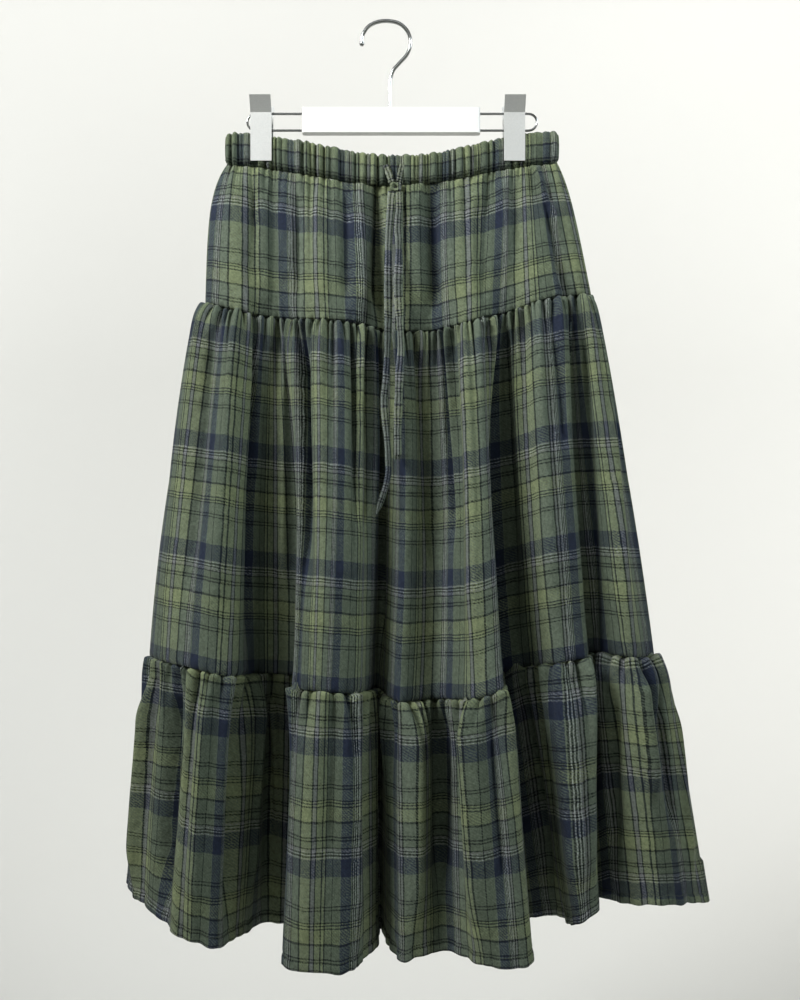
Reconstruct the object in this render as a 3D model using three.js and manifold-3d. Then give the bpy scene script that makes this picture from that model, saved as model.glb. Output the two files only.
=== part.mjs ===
// A tiered maxi skirt of plaid cotton, held at its waistband by a clip hanger.
// Millimetres, +Z up, +X to the wearer's left as seen from the front, front faces -Y.
// The origin is the point under the top of the hook where the hook hangs.

import * as THREE from 'three';
import Module from 'manifold-3d';

const wasm = await Module();
wasm.setup();

// Cloth and seams
const CLOTH_WALL = 2.0;
const SEAM_GAP = 0.35;
const FINE_STEP = 16;
const SIDE_FADE = 5; // gather columns over which the gathers grow from a side seam
const LEFT_VALLEY = 5; // fold lines of the two flat valleys where a front strip is parted
const RIGHT_VALLEY = 17;
const RIGHT_INNER_FOLD = 29; // and of the two inner folds where a back strip is parted
const LEFT_INNER_FOLD = 35;
const BAND_GATHERS = 34;
const FIRST_SEAM_GATHERS = 30;
const SECOND_SEAM_GATHERS = 32;

// The fold lines are measured on an upright grid in the plane of the hanger, looked at
// from one eye point. A point that stands out from the plane slides along its sight line.
const GRID_STEP = 1.05;
const GRID_ACROSS_AT_ORIGIN = 389;
const EYE_ACROSS = 11.5;
const EYE_DISTANCE = 1100;
const EYE_DOWN = 501;
const EYE_GRID_DOWN = 500;

// One row for each fold line of the front, from the left side seam to the right one.
// Columns: grid steps across at the waist, first seam, middle of the middle tier, second
// seam and hem, then how far the line stands out toward the front at the same places, mm.
const FRONT_FOLDS = [
  ['left side seam', 226, 205, 171, 150, 127, 0, 0, -2, -3, -4],
  ['left shoulder', 228, 210, 179, 160, 144, 3.4, 11, 20, 32, 44],
  ['crest A, left', 236, 230, 212, 198, 178, 4.6, 24, 46, 68, 90],
  ['crest A, right', 246, 246, 236, 226, 214, 4.4, 25, 48, 68, 90],
  ['slope after A', 258, 258, 250, 246, 236, 4.4, 16, 28, 38, 50],
  ['valley A to B', 272, 271, 267, 267, 262, 4.4, 12, 11, 9, 6],
  ['valley tucked under B', 285, 286, 304, 306, 302, 6, 13, 16, 12, 9],
  ['left edge of B', 298, 298, 299, 293, 281, 8.5, 20, 46, 72, 96],
  ['crest B', 330, 332, 332, 325, 318, 11, 30, 58, 82, 108],
  ['right shoulder of B', 352, 356, 358, 353, 352, 11, 27, 52, 74, 100],
  ['slope after B', 368, 371, 372, 368, 371, 11, 16, 28, 40, 60],
  ['valley B to C', 380, 381, 382, 377, 380, 11, 9, 9, 9, 8],
  ['crest C', 402, 401, 404, 398, 402, 12, 20, 38, 60, 88],
  ['soft valley in C', 430, 432, 438, 436, 444, 12, 16, 22, 42, 66],
  ['crest C, right', 462, 466, 474, 478, 492, 10, 32, 56, 84, 108],
  ['right edge of C', 488, 484, 492, 503, 531, 6.5, 29, 50, 80, 102],
  ['valley tucked under C', 497, 494, 487, 495, 520, 5, 20, 18, 13, 9],
  ['valley C to D', 508, 505, 508, 520, 553, 4.4, 14, 12, 9, 7],
  ['crest D', 528, 536, 546, 560, 580, 4.4, 22, 38, 50, 64],
  ['right edge of D', 538, 560, 572, 587, 599, 4.4, 18, 32, 42, 56],
  ['valley tucked under D', 544, 566, 574, 588, 597, 4.2, 9, 9, 8, 7],
  ['slope up to E', 549, 574, 588, 606, 622, 4.4, 9, 16, 20, 26],
  ['crest E', 553, 583, 606, 632, 660, 4.2, 10, 24, 36, 50],
  ['shoulder of E', 556.5, 589, 618, 646, 690, 3.2, 5, 12, 18, 28],
  ['right side seam', 558, 592, 626, 654, 707, 0, 0, -2, -3, -4],
];

// One row for each fold line of the back, from the right side seam to the left one.
// Columns: part of the way across from the left, then how far back it lies, mm, at the
// waist, first seam, second seam and hem.
const BACK_FOLDS = [
  ['right turn', 0.965, 3.6, 8, 11, 13],
  ['outer fold 1', 0.915, 4.4, 13, 24, 32],
  ['inner fold 1', 0.85, 4.4, 11, 15, 16],
  ['outer fold 2', 0.775, 7.2, 16, 28, 38],
  ['inner fold 2', 0.7, 9.8, 12, 16, 17],
  ['outer fold 3', 0.625, 11.4, 16, 27, 36],
  ['inner fold 3', 0.555, 12, 13, 17, 18],
  ['outer fold 4', 0.48, 12, 17, 29, 39],
  ['inner fold 4', 0.405, 11.6, 12, 16, 17],
  ['outer fold 5', 0.335, 10.6, 16, 27, 37],
  ['inner fold 5', 0.265, 8.6, 12, 15, 16],
  ['outer fold 6', 0.19, 5.4, 16, 26, 34],
  ['inner fold 6', 0.13, 4.4, 12, 16, 17],
  ['outer fold 7', 0.075, 4.4, 12, 22, 28],
  ['left turn', 0.03, 3.4, 8, 12, 14],
];

// Heights of the edges and seams, mm, at stations from the left side (0) to the right (1).
// Columns: station, top of the band, casing seam, first seam, second seam, hem.
const HEIGHTS = [
  [0.0, -116, -150, -295, -664, -903],
  [0.1, -118, -152, -307, -667, -919],
  [0.25, -128, -162, -314, -683, -944],
  [0.4, -139, -171, -319, -690, -949],
  [0.5, -142, -173, -326, -702, -946],
  [0.6, -141, -171, -325, -699, -944],
  [0.7, -134, -166, -316, -683, -943],
  [0.8, -124, -157, -303, -664, -922],
  [0.9, -117, -151, -291, -660, -907],
  [1.0, -114, -148, -286, -664, -922],
];
const HEIGHT_COLUMN = { bandTop: 1, casing: 2, firstSeam: 3, secondSeam: 4, hem: 5 };
const LEVEL = { waist: 0, firstSeam: 1, middle: 2, secondSeam: 3, hem: 4 };
const MIDDLE_AT = 0.47;

// One row for each strip of cloth. puff is how far the gathered strip stands off the
// straight line between its seams at the left and the right, rise how soon it does so.
const TIERS = {
  band: { from: ['waist', 'bandTop'], to: ['waist', 'casing'], puff: [0, 0], rise: 0.1, end: 1 },
  top: { from: ['waist', 'casing'], to: ['firstSeam', 'firstSeam'], puff: [19, 9], rise: 0.15, end: 1 },
  middle: { from: ['firstSeam', 'firstSeam'], to: ['secondSeam', 'secondSeam'], puff: [11, 5], rise: 0.02, end: 0.5 },
  bottom: { from: ['secondSeam', 'secondSeam'], to: ['hem', 'hem'], puff: [2, 14], rise: 0.06, end: 1 },
};

// Rows of each strip: part of the way down, and how far its gathers stand in and out.
// A row without gathers follows the fold lines only.
const ROWS = {
  band: [[0, 1.2], [0.5, 1.2], [1, 1.2]],
  top: [[0, 1.2], [0.06, 1.7], [0.17, 1.0], [0.34, 0], [0.56, 0], [0.78, 0], [1, 0]],
  middle: [[0, 0.6], [0.02, 2.2], [0.065, 1.4], [0.14, 0], [0.3, 0], [0.47, 0], [0.65, 0], [0.83, 0], [1, 0]],
  bottom: [[0, 0.5], [0.03, 2.4], [0.1, 1.5], [0.24, 0], [0.42, 0], [0.61, 0], [0.81, 0], [1, 0]],
};
const GATHERS = { band: BAND_GATHERS, top: BAND_GATHERS, middle: FIRST_SEAM_GATHERS, bottom: SECOND_SEAM_GATHERS };
const SEWN_BELOW = { band: 'top', top: 'middle', middle: 'bottom' };

// Drawstring: a flat string of the same cloth
const STRING_WIDTH = 6.6;
const STRING_THICK = 2.2;
const KNOT_SIZE = [11, 6, 10];

// Hanger
const HOOK_WIRE = 4.0;
const LOOP_WIRE = 2.5;
const LOOP_TOP = -95.5;
const LOOP_BOTTOM = -113.0;
const BAR_LEFT = -91;
const BAR_RIGHT = 95.5;
const BAR_TOP = -90;
const BAR_HEIGHT = 26.5;
const BAR_DEEP = 11;
const CLIP_WIDE = 22;
const CLIP_SHEET = 1.2;
const CLIP_TOP = -82;
const CLIP_KNEE = -97;
const CLIP_FOOT = -147;
const CLIP_FACE = 7.0;
const CLIP_SPLAY = 16;
const EAR_SHEET = 1.1;
const EAR_DEEP = 5;
const EAR_TALL = 9;
const EAR_FOOT = -109;
const LEFT_CLIP_AT = -133.5;
const RIGHT_CLIP_AT = 131;
const SPRING_RADIUS = 6.6;
const SPRING_LONG = 12;

const lerp = (a, b, t) => a + (b - a) * t;

function across(gridAcross, out) {
  const seen = (gridAcross - GRID_ACROSS_AT_ORIGIN) * GRID_STEP;
  return EYE_ACROSS + (seen - EYE_ACROSS) * (EYE_DISTANCE - out) / EYE_DISTANCE;
}

function sightPoint(gridAcross, gridDown, out) {
  const below = (gridDown - EYE_GRID_DOWN) * GRID_STEP * (EYE_DISTANCE - out) / EYE_DISTANCE;
  return new THREE.Vector3(across(gridAcross, out), -out, -EYE_DOWN - below);
}

// Value of a table column at a station between its rows, as a smooth curve through them.
function tableValue(rows, column, station) {
  const s = Math.min(Math.max(station, 0), 1);
  let k = 0;
  while (k < rows.length - 2 && rows[k + 1][0] < s) k += 1;
  const u = (s - rows[k][0]) / (rows[k + 1][0] - rows[k][0]);
  const slope = (i) => {
    const a = Math.max(i - 1, 0);
    const b = Math.min(i + 1, rows.length - 1);
    return (rows[b][column] - rows[a][column]) / (rows[b][0] - rows[a][0]);
  };
  const wide = rows[k + 1][0] - rows[k][0];
  const h = u * u * (3 - 2 * u);
  const start = u * (1 - u) * (1 - u) * wide * slope(k);
  const finish = u * u * (1 - u) * wide * slope(k + 1);
  return lerp(rows[k][column], rows[k + 1][column], h) + start - finish;
}

// Value of one fold line's columns part of the way down a strip.
function alongTier(tier, row, firstColumn, t) {
  const a = row[firstColumn + LEVEL[tier.from[0]]];
  const b = row[firstColumn + LEVEL[tier.to[0]]];
  if (tier !== TIERS.middle) return lerp(a, b, t);
  const m = row[firstColumn + LEVEL.middle];
  const bow = (m - lerp(a, b, MIDDLE_AT)) / (MIDDLE_AT * (1 - MIDDLE_AT));
  return lerp(a, b, t) + bow * t * (1 - t);
}

function levelSides(level) {
  const left = FRONT_FOLDS[0];
  const right = FRONT_FOLDS[FRONT_FOLDS.length - 1];
  const k = LEVEL[level];
  return [across(left[1 + k], left[6 + k]), across(right[1 + k], right[6 + k])];
}

function edgeHeight(edge, x) {
  const [left, right] = levelSides(edge[0]);
  return tableValue(HEIGHTS, HEIGHT_COLUMN[edge[1]], (x - left) / (right - left));
}

const FRONT_COUNT = FRONT_FOLDS.length;
const LINE_COUNT = FRONT_COUNT + BACK_FOLDS.length;
const FRONT = [0, FRONT_COUNT - 1];
const BACK = [FRONT_COUNT - 1, LINE_COUNT];
const FRONT_PARTS = [[0, LEFT_VALLEY], [LEFT_VALLEY, RIGHT_VALLEY], [RIGHT_VALLEY, FRONT_COUNT - 1]];
const BACK_PARTS = [[FRONT_COUNT - 1, RIGHT_INNER_FOLD], [RIGHT_INNER_FOLD, LEFT_INNER_FOLD], [LEFT_INNER_FOLD, LINE_COUNT]];
const BACK_COLUMN = { waist: 2, firstSeam: 3, secondSeam: 4, hem: 5 };

// Place across and out of one fold line, part of the way down a strip.
function linePlan(tier, line, t) {
  if (line < FRONT_COUNT) {
    const row = FRONT_FOLDS[line];
    const out = alongTier(tier, row, 6, t);
    return [across(alongTier(tier, row, 1, t), out), -out];
  }
  const row = BACK_FOLDS[line - FRONT_COUNT];
  const left = linePlan(tier, 0, t)[0];
  const right = linePlan(tier, FRONT_COUNT - 1, t)[0];
  const y = lerp(row[BACK_COLUMN[tier.from[0]]], row[BACK_COLUMN[tier.to[0]]], t);
  return [lerp(left, right, row[1]), y];
}

const planCache = new Map();

function linePoint(tier, line, t) {
  const key = `${tier.from[1]} ${line} ${t}`;
  if (planCache.has(key)) return planCache.get(key);
  const [x, y] = linePlan(tier, line, t);
  const high = edgeHeight(tier.from, linePlan(tier, line, 0)[0]) - SEAM_GAP;
  const low = edgeHeight(tier.to, linePlan(tier, line, 1)[0]);
  const point = new THREE.Vector3(x, y, lerp(high, low, t));
  planCache.set(key, point);
  return point;
}

// Point of the smooth closed curve through the fold lines (centripetal spacing).
function ringPoint(tier, s, t) {
  const wrapped = ((s % LINE_COUNT) + LINE_COUNT) % LINE_COUNT;
  const i = Math.floor(wrapped);
  const p = [-1, 0, 1, 2].map((k) => linePoint(tier, (i + k + LINE_COUNT) % LINE_COUNT, t));
  const knots = [0];
  for (let k = 0; k < 3; k += 1) knots.push(knots[k] + Math.sqrt(p[k].distanceTo(p[k + 1])));
  const at = lerp(knots[1], knots[2], wrapped - i);
  const mix = (a, b, ka, kb) => a.clone().lerp(b, (at - ka) / (kb - ka));
  const a1 = mix(p[0], p[1], knots[0], knots[1]);
  const a2 = mix(p[1], p[2], knots[1], knots[2]);
  const a3 = mix(p[2], p[3], knots[2], knots[3]);
  const b1 = mix(a1, a2, knots[0], knots[2]);
  const b2 = mix(a2, a3, knots[1], knots[3]);
  return mix(b1, b2, knots[1], knots[2]);
}

function puffAt(tier, x, t) {
  const left = linePlan(tier, 0, t)[0];
  const right = linePlan(tier, FRONT_COUNT - 1, t)[0];
  const f = (x - left) / (right - left);
  const side = 0.4 + 0.6 * Math.abs(2 * f - 1) ** 3;
  const shape = (1 - Math.exp(-t / tier.rise)) * Math.max(0, 1 - t / tier.end);
  return lerp(tier.puff[0], tier.puff[1], f) * side * shape;
}

// Middle surface of a strip, with the stand-off of its gathered cloth.
function clothPoint(tier, s, t) {
  const p = ringPoint(tier, s, t);
  const step = 0.02;
  const a = ringPoint(tier, s - step, t);
  const b = ringPoint(tier, s + step, t);
  const outward = new THREE.Vector3(b.y - a.y, a.x - b.x, 0).normalize();
  return p.addScaledVector(outward, puffAt(tier, p.x, t));
}

function clothNormal(tier, s, t) {
  const ds = 0.03;
  const dt = 0.012;
  const t0 = Math.max(t - dt, 0);
  const t1 = Math.min(t + dt, 1);
  const along = clothPoint(tier, s + ds, t).sub(clothPoint(tier, s - ds, t));
  const down = clothPoint(tier, s, t1).sub(clothPoint(tier, s, t0));
  const normal = down.cross(along);
  if (t === 0 || t === 1) normal.z = 0;
  return normal.normalize();
}

// Fold-line places and the distance run along the cloth between two fold lines of a row.
function runAlong(tier, range, t) {
  const lengths = [0];
  const places = [range[0]];
  const steps = (range[1] - range[0]) * 10;
  let last = ringPoint(tier, range[0], t);
  for (let k = 1; k <= steps; k += 1) {
    const s = lerp(range[0], range[1], k / steps);
    const p = ringPoint(tier, s, t);
    lengths.push(lengths[k - 1] + p.distanceTo(last));
    places.push(s);
    last = p;
  }
  return { places, lengths, long: lengths[steps] };
}

// Places of the columns of one row: evenly along the cloth at gathers, else on the folds.
// Each of the three parts of the front or the back takes its share of the gathers.
function rowColumns(tier, range, t, evenColumns, parts) {
  if (!evenColumns) return parts;
  if (range === FRONT || range === BACK) {
    const halfParts = range === FRONT ? FRONT_PARTS : BACK_PARTS;
    const columns = halfParts.map((part) => rowColumns(tier, part, t, evenColumns, parts));
    return columns.reduce((all, more) => all.concat(more.slice(1)));
  }
  const { places, lengths, long } = runAlong(tier, range, t);
  const half = FRONT_PARTS.includes(range) ? FRONT : BACK;
  const share = long / runAlong(tier, half, t).long;
  const count = 2 * Math.round(evenColumns * share / 2);
  const columns = [];
  let k = 0;
  for (let c = 0; c <= count; c += 1) {
    const want = long * c / count;
    while (k < lengths.length - 2 && lengths[k + 1] < want) k += 1;
    const u = (want - lengths[k]) / (lengths[k + 1] - lengths[k]);
    columns.push(lerp(places[k], places[k + 1], Math.min(u, 1)));
  }
  return columns;
}

function foldParts(tier, range) {
  const parts = [];
  for (let i = range[0]; i < range[1]; i += 1) {
    const a = ringPoint(tier, i, 1);
    const m = ringPoint(tier, i + 0.5, 1);
    const b = ringPoint(tier, i + 1, 1);
    const long = a.distanceTo(m) + m.distanceTo(b);
    const count = Math.min(Math.max(Math.round(long / FINE_STEP), 1), 6);
    for (let k = 0; k < count; k += 1) parts.push(i + k / count);
  }
  parts.push(range[1]);
  return parts;
}

// A closed wall of cloth between two fold lines: an outer and an inner face and four rims.
function clothWall(tierName, range) {
  const tier = TIERS[tierName];
  const parts = foldParts(tier, range);
  const positions = [];
  const triangles = [];
  const rows = [];
  for (const [t, amplitude] of ROWS[tierName]) {
    let even = amplitude > 0 ? 2 * GATHERS[tierName] : 0;
    if (t === 1 && SEWN_BELOW[tierName]) even = 2 * GATHERS[SEWN_BELOW[tierName]];
    const columns = rowColumns(tier, range, t, even, parts);
    const last = columns.length - 1;
    const row = { s: columns, outer: [], inner: [] };
    columns.forEach((place, c) => {
      let s = place;
      if (c === 0 || c === last) {
        const grow = c === 0 ? 0.02 : -0.02;
        const reach = ringPoint(tier, s, t).distanceTo(ringPoint(tier, s + grow, t));
        s += grow * (SEAM_GAP / 2) / reach;
      }
      const normal = clothNormal(tier, place, t);
      const fade = Math.min(Math.min(c, last - c) / SIDE_FADE, 1);
      const wave = amplitude * fade * (c % 2 ? 1 : -1);
      const middle = clothPoint(tier, s, t).addScaledVector(normal, wave);
      const outer = middle.clone().addScaledVector(normal, CLOTH_WALL / 2);
      const inner = middle.clone().addScaledVector(normal, -CLOTH_WALL / 2);
      row.outer.push(positions.length / 3);
      positions.push(outer.x, outer.y, outer.z);
      row.inner.push(positions.length / 3);
      positions.push(inner.x, inner.y, inner.z);
    });
    rows.push(row);
  }
  const face = (a, b, c) => triangles.push(a, b, c);
  const strip = (upper, lower, su, sl, flip) => {
    let i = 0;
    let j = 0;
    while (i < upper.length - 1 || j < lower.length - 1) {
      const nextUpper = i < upper.length - 1 ? su[i + 1] : Infinity;
      const nextLower = j < lower.length - 1 ? sl[j + 1] : Infinity;
      const stepUpper = nextUpper < nextLower;
      const third = stepUpper ? upper[i + 1] : lower[j + 1];
      if (flip) face(upper[i], third, lower[j]);
      else face(upper[i], lower[j], third);
      if (stepUpper) i += 1;
      else j += 1;
    }
  };
  for (let r = 0; r < rows.length - 1; r += 1) {
    const a = rows[r];
    const b = rows[r + 1];
    strip(a.outer, b.outer, a.s, b.s, false);
    strip(a.inner, b.inner, a.s, b.s, true);
    const ea = a.outer.length - 1;
    const eb = b.outer.length - 1;
    face(a.inner[0], b.inner[0], a.outer[0]);
    face(a.outer[0], b.inner[0], b.outer[0]);
    face(a.outer[ea], b.outer[eb], a.inner[ea]);
    face(a.inner[ea], b.outer[eb], b.inner[eb]);
  }
  const head = rows[0];
  const foot = rows[rows.length - 1];
  for (let c = 0; c < head.outer.length - 1; c += 1) {
    face(head.inner[c], head.outer[c], head.inner[c + 1]);
    face(head.inner[c + 1], head.outer[c], head.outer[c + 1]);
  }
  for (let c = 0; c < foot.outer.length - 1; c += 1) {
    face(foot.inner[c], foot.inner[c + 1], foot.outer[c]);
    face(foot.inner[c + 1], foot.outer[c + 1], foot.outer[c]);
  }
  const geometry = new THREE.BufferGeometry();
  geometry.setAttribute('position', new THREE.Float32BufferAttribute(positions, 3));
  geometry.setIndex(triangles);
  geometry.computeVertexNormals();
  return geometry;
}

// A string or wire of an oval section swept along a smooth curve.
function sweep(points, wide, thick, sides, steps) {
  const section = new THREE.Shape();
  for (let k = 0; k < sides; k += 1) {
    const angle = (k + 0.5) / sides * Math.PI * 2;
    const x = Math.cos(angle) * wide / 2;
    const y = Math.sin(angle) * thick / 2;
    if (k === 0) section.moveTo(x, y);
    else section.lineTo(x, y);
  }
  section.closePath();
  const path = new THREE.CatmullRomCurve3(points, false, 'centripetal');
  return new THREE.ExtrudeGeometry(section, { steps, extrudePath: path, curveSegments: 1 });
}

function toSolid(geometry) {
  const flat = geometry.index ? geometry.toNonIndexed() : geometry;
  const source = flat.getAttribute('position').array;
  const seen = new Map();
  const vertices = [];
  const indices = [];
  for (let i = 0; i < source.length; i += 3) {
    const key = [0, 1, 2].map((k) => Math.round(source[i + k] * 1e4)).join();
    if (!seen.has(key)) {
      seen.set(key, vertices.length / 3);
      vertices.push(source[i], source[i + 1], source[i + 2]);
    }
    indices.push(seen.get(key));
  }
  const options = { numProp: 3, vertProperties: new Float32Array(vertices), triVerts: new Uint32Array(indices) };
  return new wasm.Manifold(new wasm.Mesh(options));
}

function fromSolid(solid) {
  const mesh = solid.getMesh();
  const geometry = new THREE.BufferGeometry();
  geometry.setAttribute('position', new THREE.Float32BufferAttribute(mesh.vertProperties, 3));
  geometry.setIndex(Array.from(mesh.triVerts));
  geometry.computeVertexNormals();
  return geometry;
}

// Materials
const plaidCloth = new THREE.MeshStandardMaterial({ color: 0x6d7a55, roughness: 0.9, metalness: 0 });
const stringCloth = new THREE.MeshStandardMaterial({ color: 0x74805c, roughness: 0.9, metalness: 0 });
const chromedWire = new THREE.MeshStandardMaterial({ color: 0xc9cbca, roughness: 0.2, metalness: 1 });
const satinSteel = new THREE.MeshStandardMaterial({ color: 0xbfc1be, roughness: 0.4, metalness: 1 });
const whiteLacquer = new THREE.MeshStandardMaterial({ color: 0xf4f4f1, roughness: 0.25, metalness: 0 });

const skirt = new THREE.Group();

function add(name, geometry, material) {
  const mesh = new THREE.Mesh(geometry, material);
  mesh.name = name;
  skirt.add(mesh);
  return mesh;
}

// Cloth, from the waistband down
add('waistband_front', clothWall('band', FRONT), plaidCloth);
add('waistband_back', clothWall('band', BACK), plaidCloth);
add('top_tier_front', clothWall('top', FRONT), plaidCloth);
add('top_tier_back', clothWall('top', BACK), plaidCloth);
for (const tierName of ['middle', 'bottom']) {
  ['left', 'centre', 'right'].forEach((where, k) => {
    add(`${tierName}_tier_front_${where}`, clothWall(tierName, FRONT_PARTS[k]), plaidCloth);
  });
  ['right', 'centre', 'left'].forEach((where, k) => {
    add(`${tierName}_tier_back_${where}`, clothWall(tierName, BACK_PARTS[k]), plaidCloth);
  });
}

// Drawstring: two short strands from the band to the knot, and two tails that hang free.
// Each row: grid steps across and down, and how far out, mm.
const KNOT_AT = sightPoint(395.5, 187, 18.9);
const LEFT_STRAND = [[385.5, 165, 15.9], [388, 171, 16.7], [391.6, 182.2, 18.2]];
const RIGHT_STRAND = [[403.5, 165, 16.1], [401.5, 171, 16.7], [399.4, 182.2, 18.2]];
const LEFT_TAIL = [
  [392.4, 191.7, 19.5], [391.2, 204, 21], [388.5, 243, 23.5], [388, 298, 30], [388, 320, 31.5],
  [386, 376, 35], [384, 399, 37], [385, 418, 39], [387, 439, 41], [388, 455, 42.5],
  [388, 474, 44], [385, 488, 45.5], [378, 509, 47.5], [376, 515, 48],
];
const RIGHT_TAIL = [
  [399.4, 191.7, 19.6], [399.6, 208, 22], [398.8, 225, 23], [399, 249, 24.5], [398.5, 297, 31],
  [400, 320, 32.5], [401, 348, 34], [399.5, 376, 36], [397.8, 425, 40.5], [398, 455, 43],
];
const route = (rows) => rows.map((row) => sightPoint(row[0], row[1], row[2]));
add('drawstring_strand_left', sweep(route(LEFT_STRAND), 5.4, STRING_THICK, 8, 6), stringCloth);
add('drawstring_strand_right', sweep(route(RIGHT_STRAND), 5.4, STRING_THICK, 8, 6), stringCloth);
add('drawstring_tail_left', sweep(route(LEFT_TAIL), STRING_WIDTH, STRING_THICK, 8, 30), stringCloth);
add('drawstring_tail_right', sweep(route(RIGHT_TAIL), STRING_WIDTH, STRING_THICK, 8, 24), stringCloth);
const knotShape = new THREE.SphereGeometry(0.5, 12, 8);
knotShape.scale(KNOT_SIZE[0], KNOT_SIZE[1], KNOT_SIZE[2]);
add('drawstring_knot', knotShape, stringCloth).position.copy(KNOT_AT);

// Hook: one bent wire with a small ball on its tip
const HOOK_ROUTE = [
  [-28.5, -21], [-27.6, -13], [-21.5, -3.6], [-11.5, 1.2], [0, 2], [11.5, -1], [19.8, -9.5],
  [22.6, -21], [19.2, -32.5], [11.5, -41.5], [5, -49], [2, -57], [1, -66], [1, -78], [1, -89.7],
];
const hookPoints = HOOK_ROUTE.map(([x, z]) => new THREE.Vector3(x, 0, z));
const hookWire = toSolid(sweep(hookPoints, HOOK_WIRE, HOOK_WIRE, 8, 38));
const hookBall = new THREE.SphereGeometry(HOOK_WIRE * 0.66, 10, 7);
hookBall.translate(HOOK_ROUTE[0][0], 0, HOOK_ROUTE[0][1] - 0.8);
add('hanger_hook', fromSolid(hookWire.add(toSolid(hookBall))), chromedWire);

// Bar with softly rounded upright corners
const barPlan = new THREE.Shape();
const barHalf = BAR_DEEP / 2;
const barRound = 3;
barPlan.moveTo(BAR_LEFT + barRound, -barHalf);
barPlan.lineTo(BAR_RIGHT - barRound, -barHalf);
barPlan.absarc(BAR_RIGHT - barRound, -barHalf + barRound, barRound, -Math.PI / 2, 0, false);
barPlan.lineTo(BAR_RIGHT, barHalf - barRound);
barPlan.absarc(BAR_RIGHT - barRound, barHalf - barRound, barRound, 0, Math.PI / 2, false);
barPlan.lineTo(BAR_LEFT + barRound, barHalf);
barPlan.absarc(BAR_LEFT + barRound, barHalf - barRound, barRound, Math.PI / 2, Math.PI, false);
barPlan.lineTo(BAR_LEFT, -barHalf + barRound);
barPlan.absarc(BAR_LEFT + barRound, -barHalf + barRound, barRound, Math.PI, Math.PI * 1.5, false);
const barBody = new THREE.ExtrudeGeometry(barPlan, { depth: BAR_HEIGHT, bevelEnabled: false, curveSegments: 4 });
add('hanger_bar', barBody, whiteLacquer).position.set(0, 0, BAR_TOP - BAR_HEIGHT);

// Wire loops that stick out of the two ends of the bar
function wireLoop(rootX, tipX) {
  const sign = Math.sign(tipX);
  const round = (LOOP_TOP - LOOP_BOTTOM) / 2;
  const middle = (LOOP_TOP + LOOP_BOTTOM) / 2;
  const turn = tipX - sign * (round + LOOP_WIRE / 2);
  const points = [new THREE.Vector3(rootX, 0, LOOP_TOP), new THREE.Vector3(lerp(rootX, turn, 0.5), 0, LOOP_TOP)];
  for (let k = 0; k <= 6; k += 1) {
    const angle = Math.PI / 2 - Math.PI * k / 6;
    const x = turn + sign * Math.cos(angle) * round;
    points.push(new THREE.Vector3(x, 0, middle + Math.sin(angle) * round));
  }
  points.push(new THREE.Vector3(lerp(rootX, turn, 0.5), 0, LOOP_BOTTOM), new THREE.Vector3(rootX, 0, LOOP_BOTTOM));
  return sweep(points, LOOP_WIRE, LOOP_WIRE, 8, 26);
}
add('hanger_wire_left', wireLoop(BAR_LEFT - SEAM_GAP, -150), chromedWire);
add('hanger_wire_right', wireLoop(BAR_RIGHT + SEAM_GAP, 156.5), chromedWire);

// Clips: a front and a rear plate with a coiled spring between them. Each plate is bent
// sheet that leans away from the bar at its top and turns in a little at its foot.
function clipPlate(side) {
  const t = CLIP_SHEET;
  const profile = new THREE.Shape();
  profile.moveTo(CLIP_SPLAY * side, CLIP_TOP);
  profile.lineTo(CLIP_FACE * side, CLIP_KNEE);
  profile.lineTo(CLIP_FACE * side, CLIP_FOOT);
  profile.lineTo((CLIP_FACE + t) * side, CLIP_FOOT);
  profile.lineTo((CLIP_FACE + t) * side, CLIP_KNEE + 0.4);
  profile.lineTo((CLIP_SPLAY + t) * side, CLIP_TOP + 0.6);
  profile.closePath();
  const plate = new THREE.ExtrudeGeometry(profile, { depth: CLIP_WIDE, bevelEnabled: false });
  plate.translate(0, 0, -CLIP_WIDE / 2);
  const turn = new THREE.Matrix4().makeBasis(
    new THREE.Vector3(0, 1, 0),
    new THREE.Vector3(0, 0, 1),
    new THREE.Vector3(1, 0, 0),
  );
  plate.applyMatrix4(turn);
  let solid = toSolid(plate);
  if (side < 0) {
    const ear = new THREE.BoxGeometry(EAR_SHEET, EAR_DEEP, EAR_TALL);
    ear.translate((CLIP_WIDE - EAR_SHEET) / 2, EAR_DEEP / 2 - CLIP_FACE - t / 2, EAR_FOOT + EAR_TALL / 2);
    solid = solid.add(toSolid(ear));
  }
  return fromSolid(solid);
}

function addClip(name, x, earsRight) {
  const front = add(`${name}_front_plate`, clipPlate(-1), satinSteel);
  front.position.set(x, 0, 0);
  if (!earsRight) {
    front.geometry.scale(-1, 1, 1);
    const index = front.geometry.index.array;
    for (let k = 0; k < index.length; k += 3) {
      const keep = index[k + 1];
      index[k + 1] = index[k + 2];
      index[k + 2] = keep;
    }
    front.geometry.computeVertexNormals();
  }
  add(`${name}_rear_plate`, clipPlate(1), satinSteel).position.set(x, 0, 0);
  const coil = new THREE.CylinderGeometry(SPRING_RADIUS, SPRING_RADIUS, SPRING_LONG, 20, 1);
  coil.rotateZ(Math.PI / 2);
  const spring = add(`${name}_spring`, coil, satinSteel);
  spring.position.set(x, 0, (LOOP_TOP + LOOP_BOTTOM) / 2);
}
addClip('clip_left', LEFT_CLIP_AT, true);
addClip('clip_right', RIGHT_CLIP_AT, false);

export default skirt;
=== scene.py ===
import math

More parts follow.
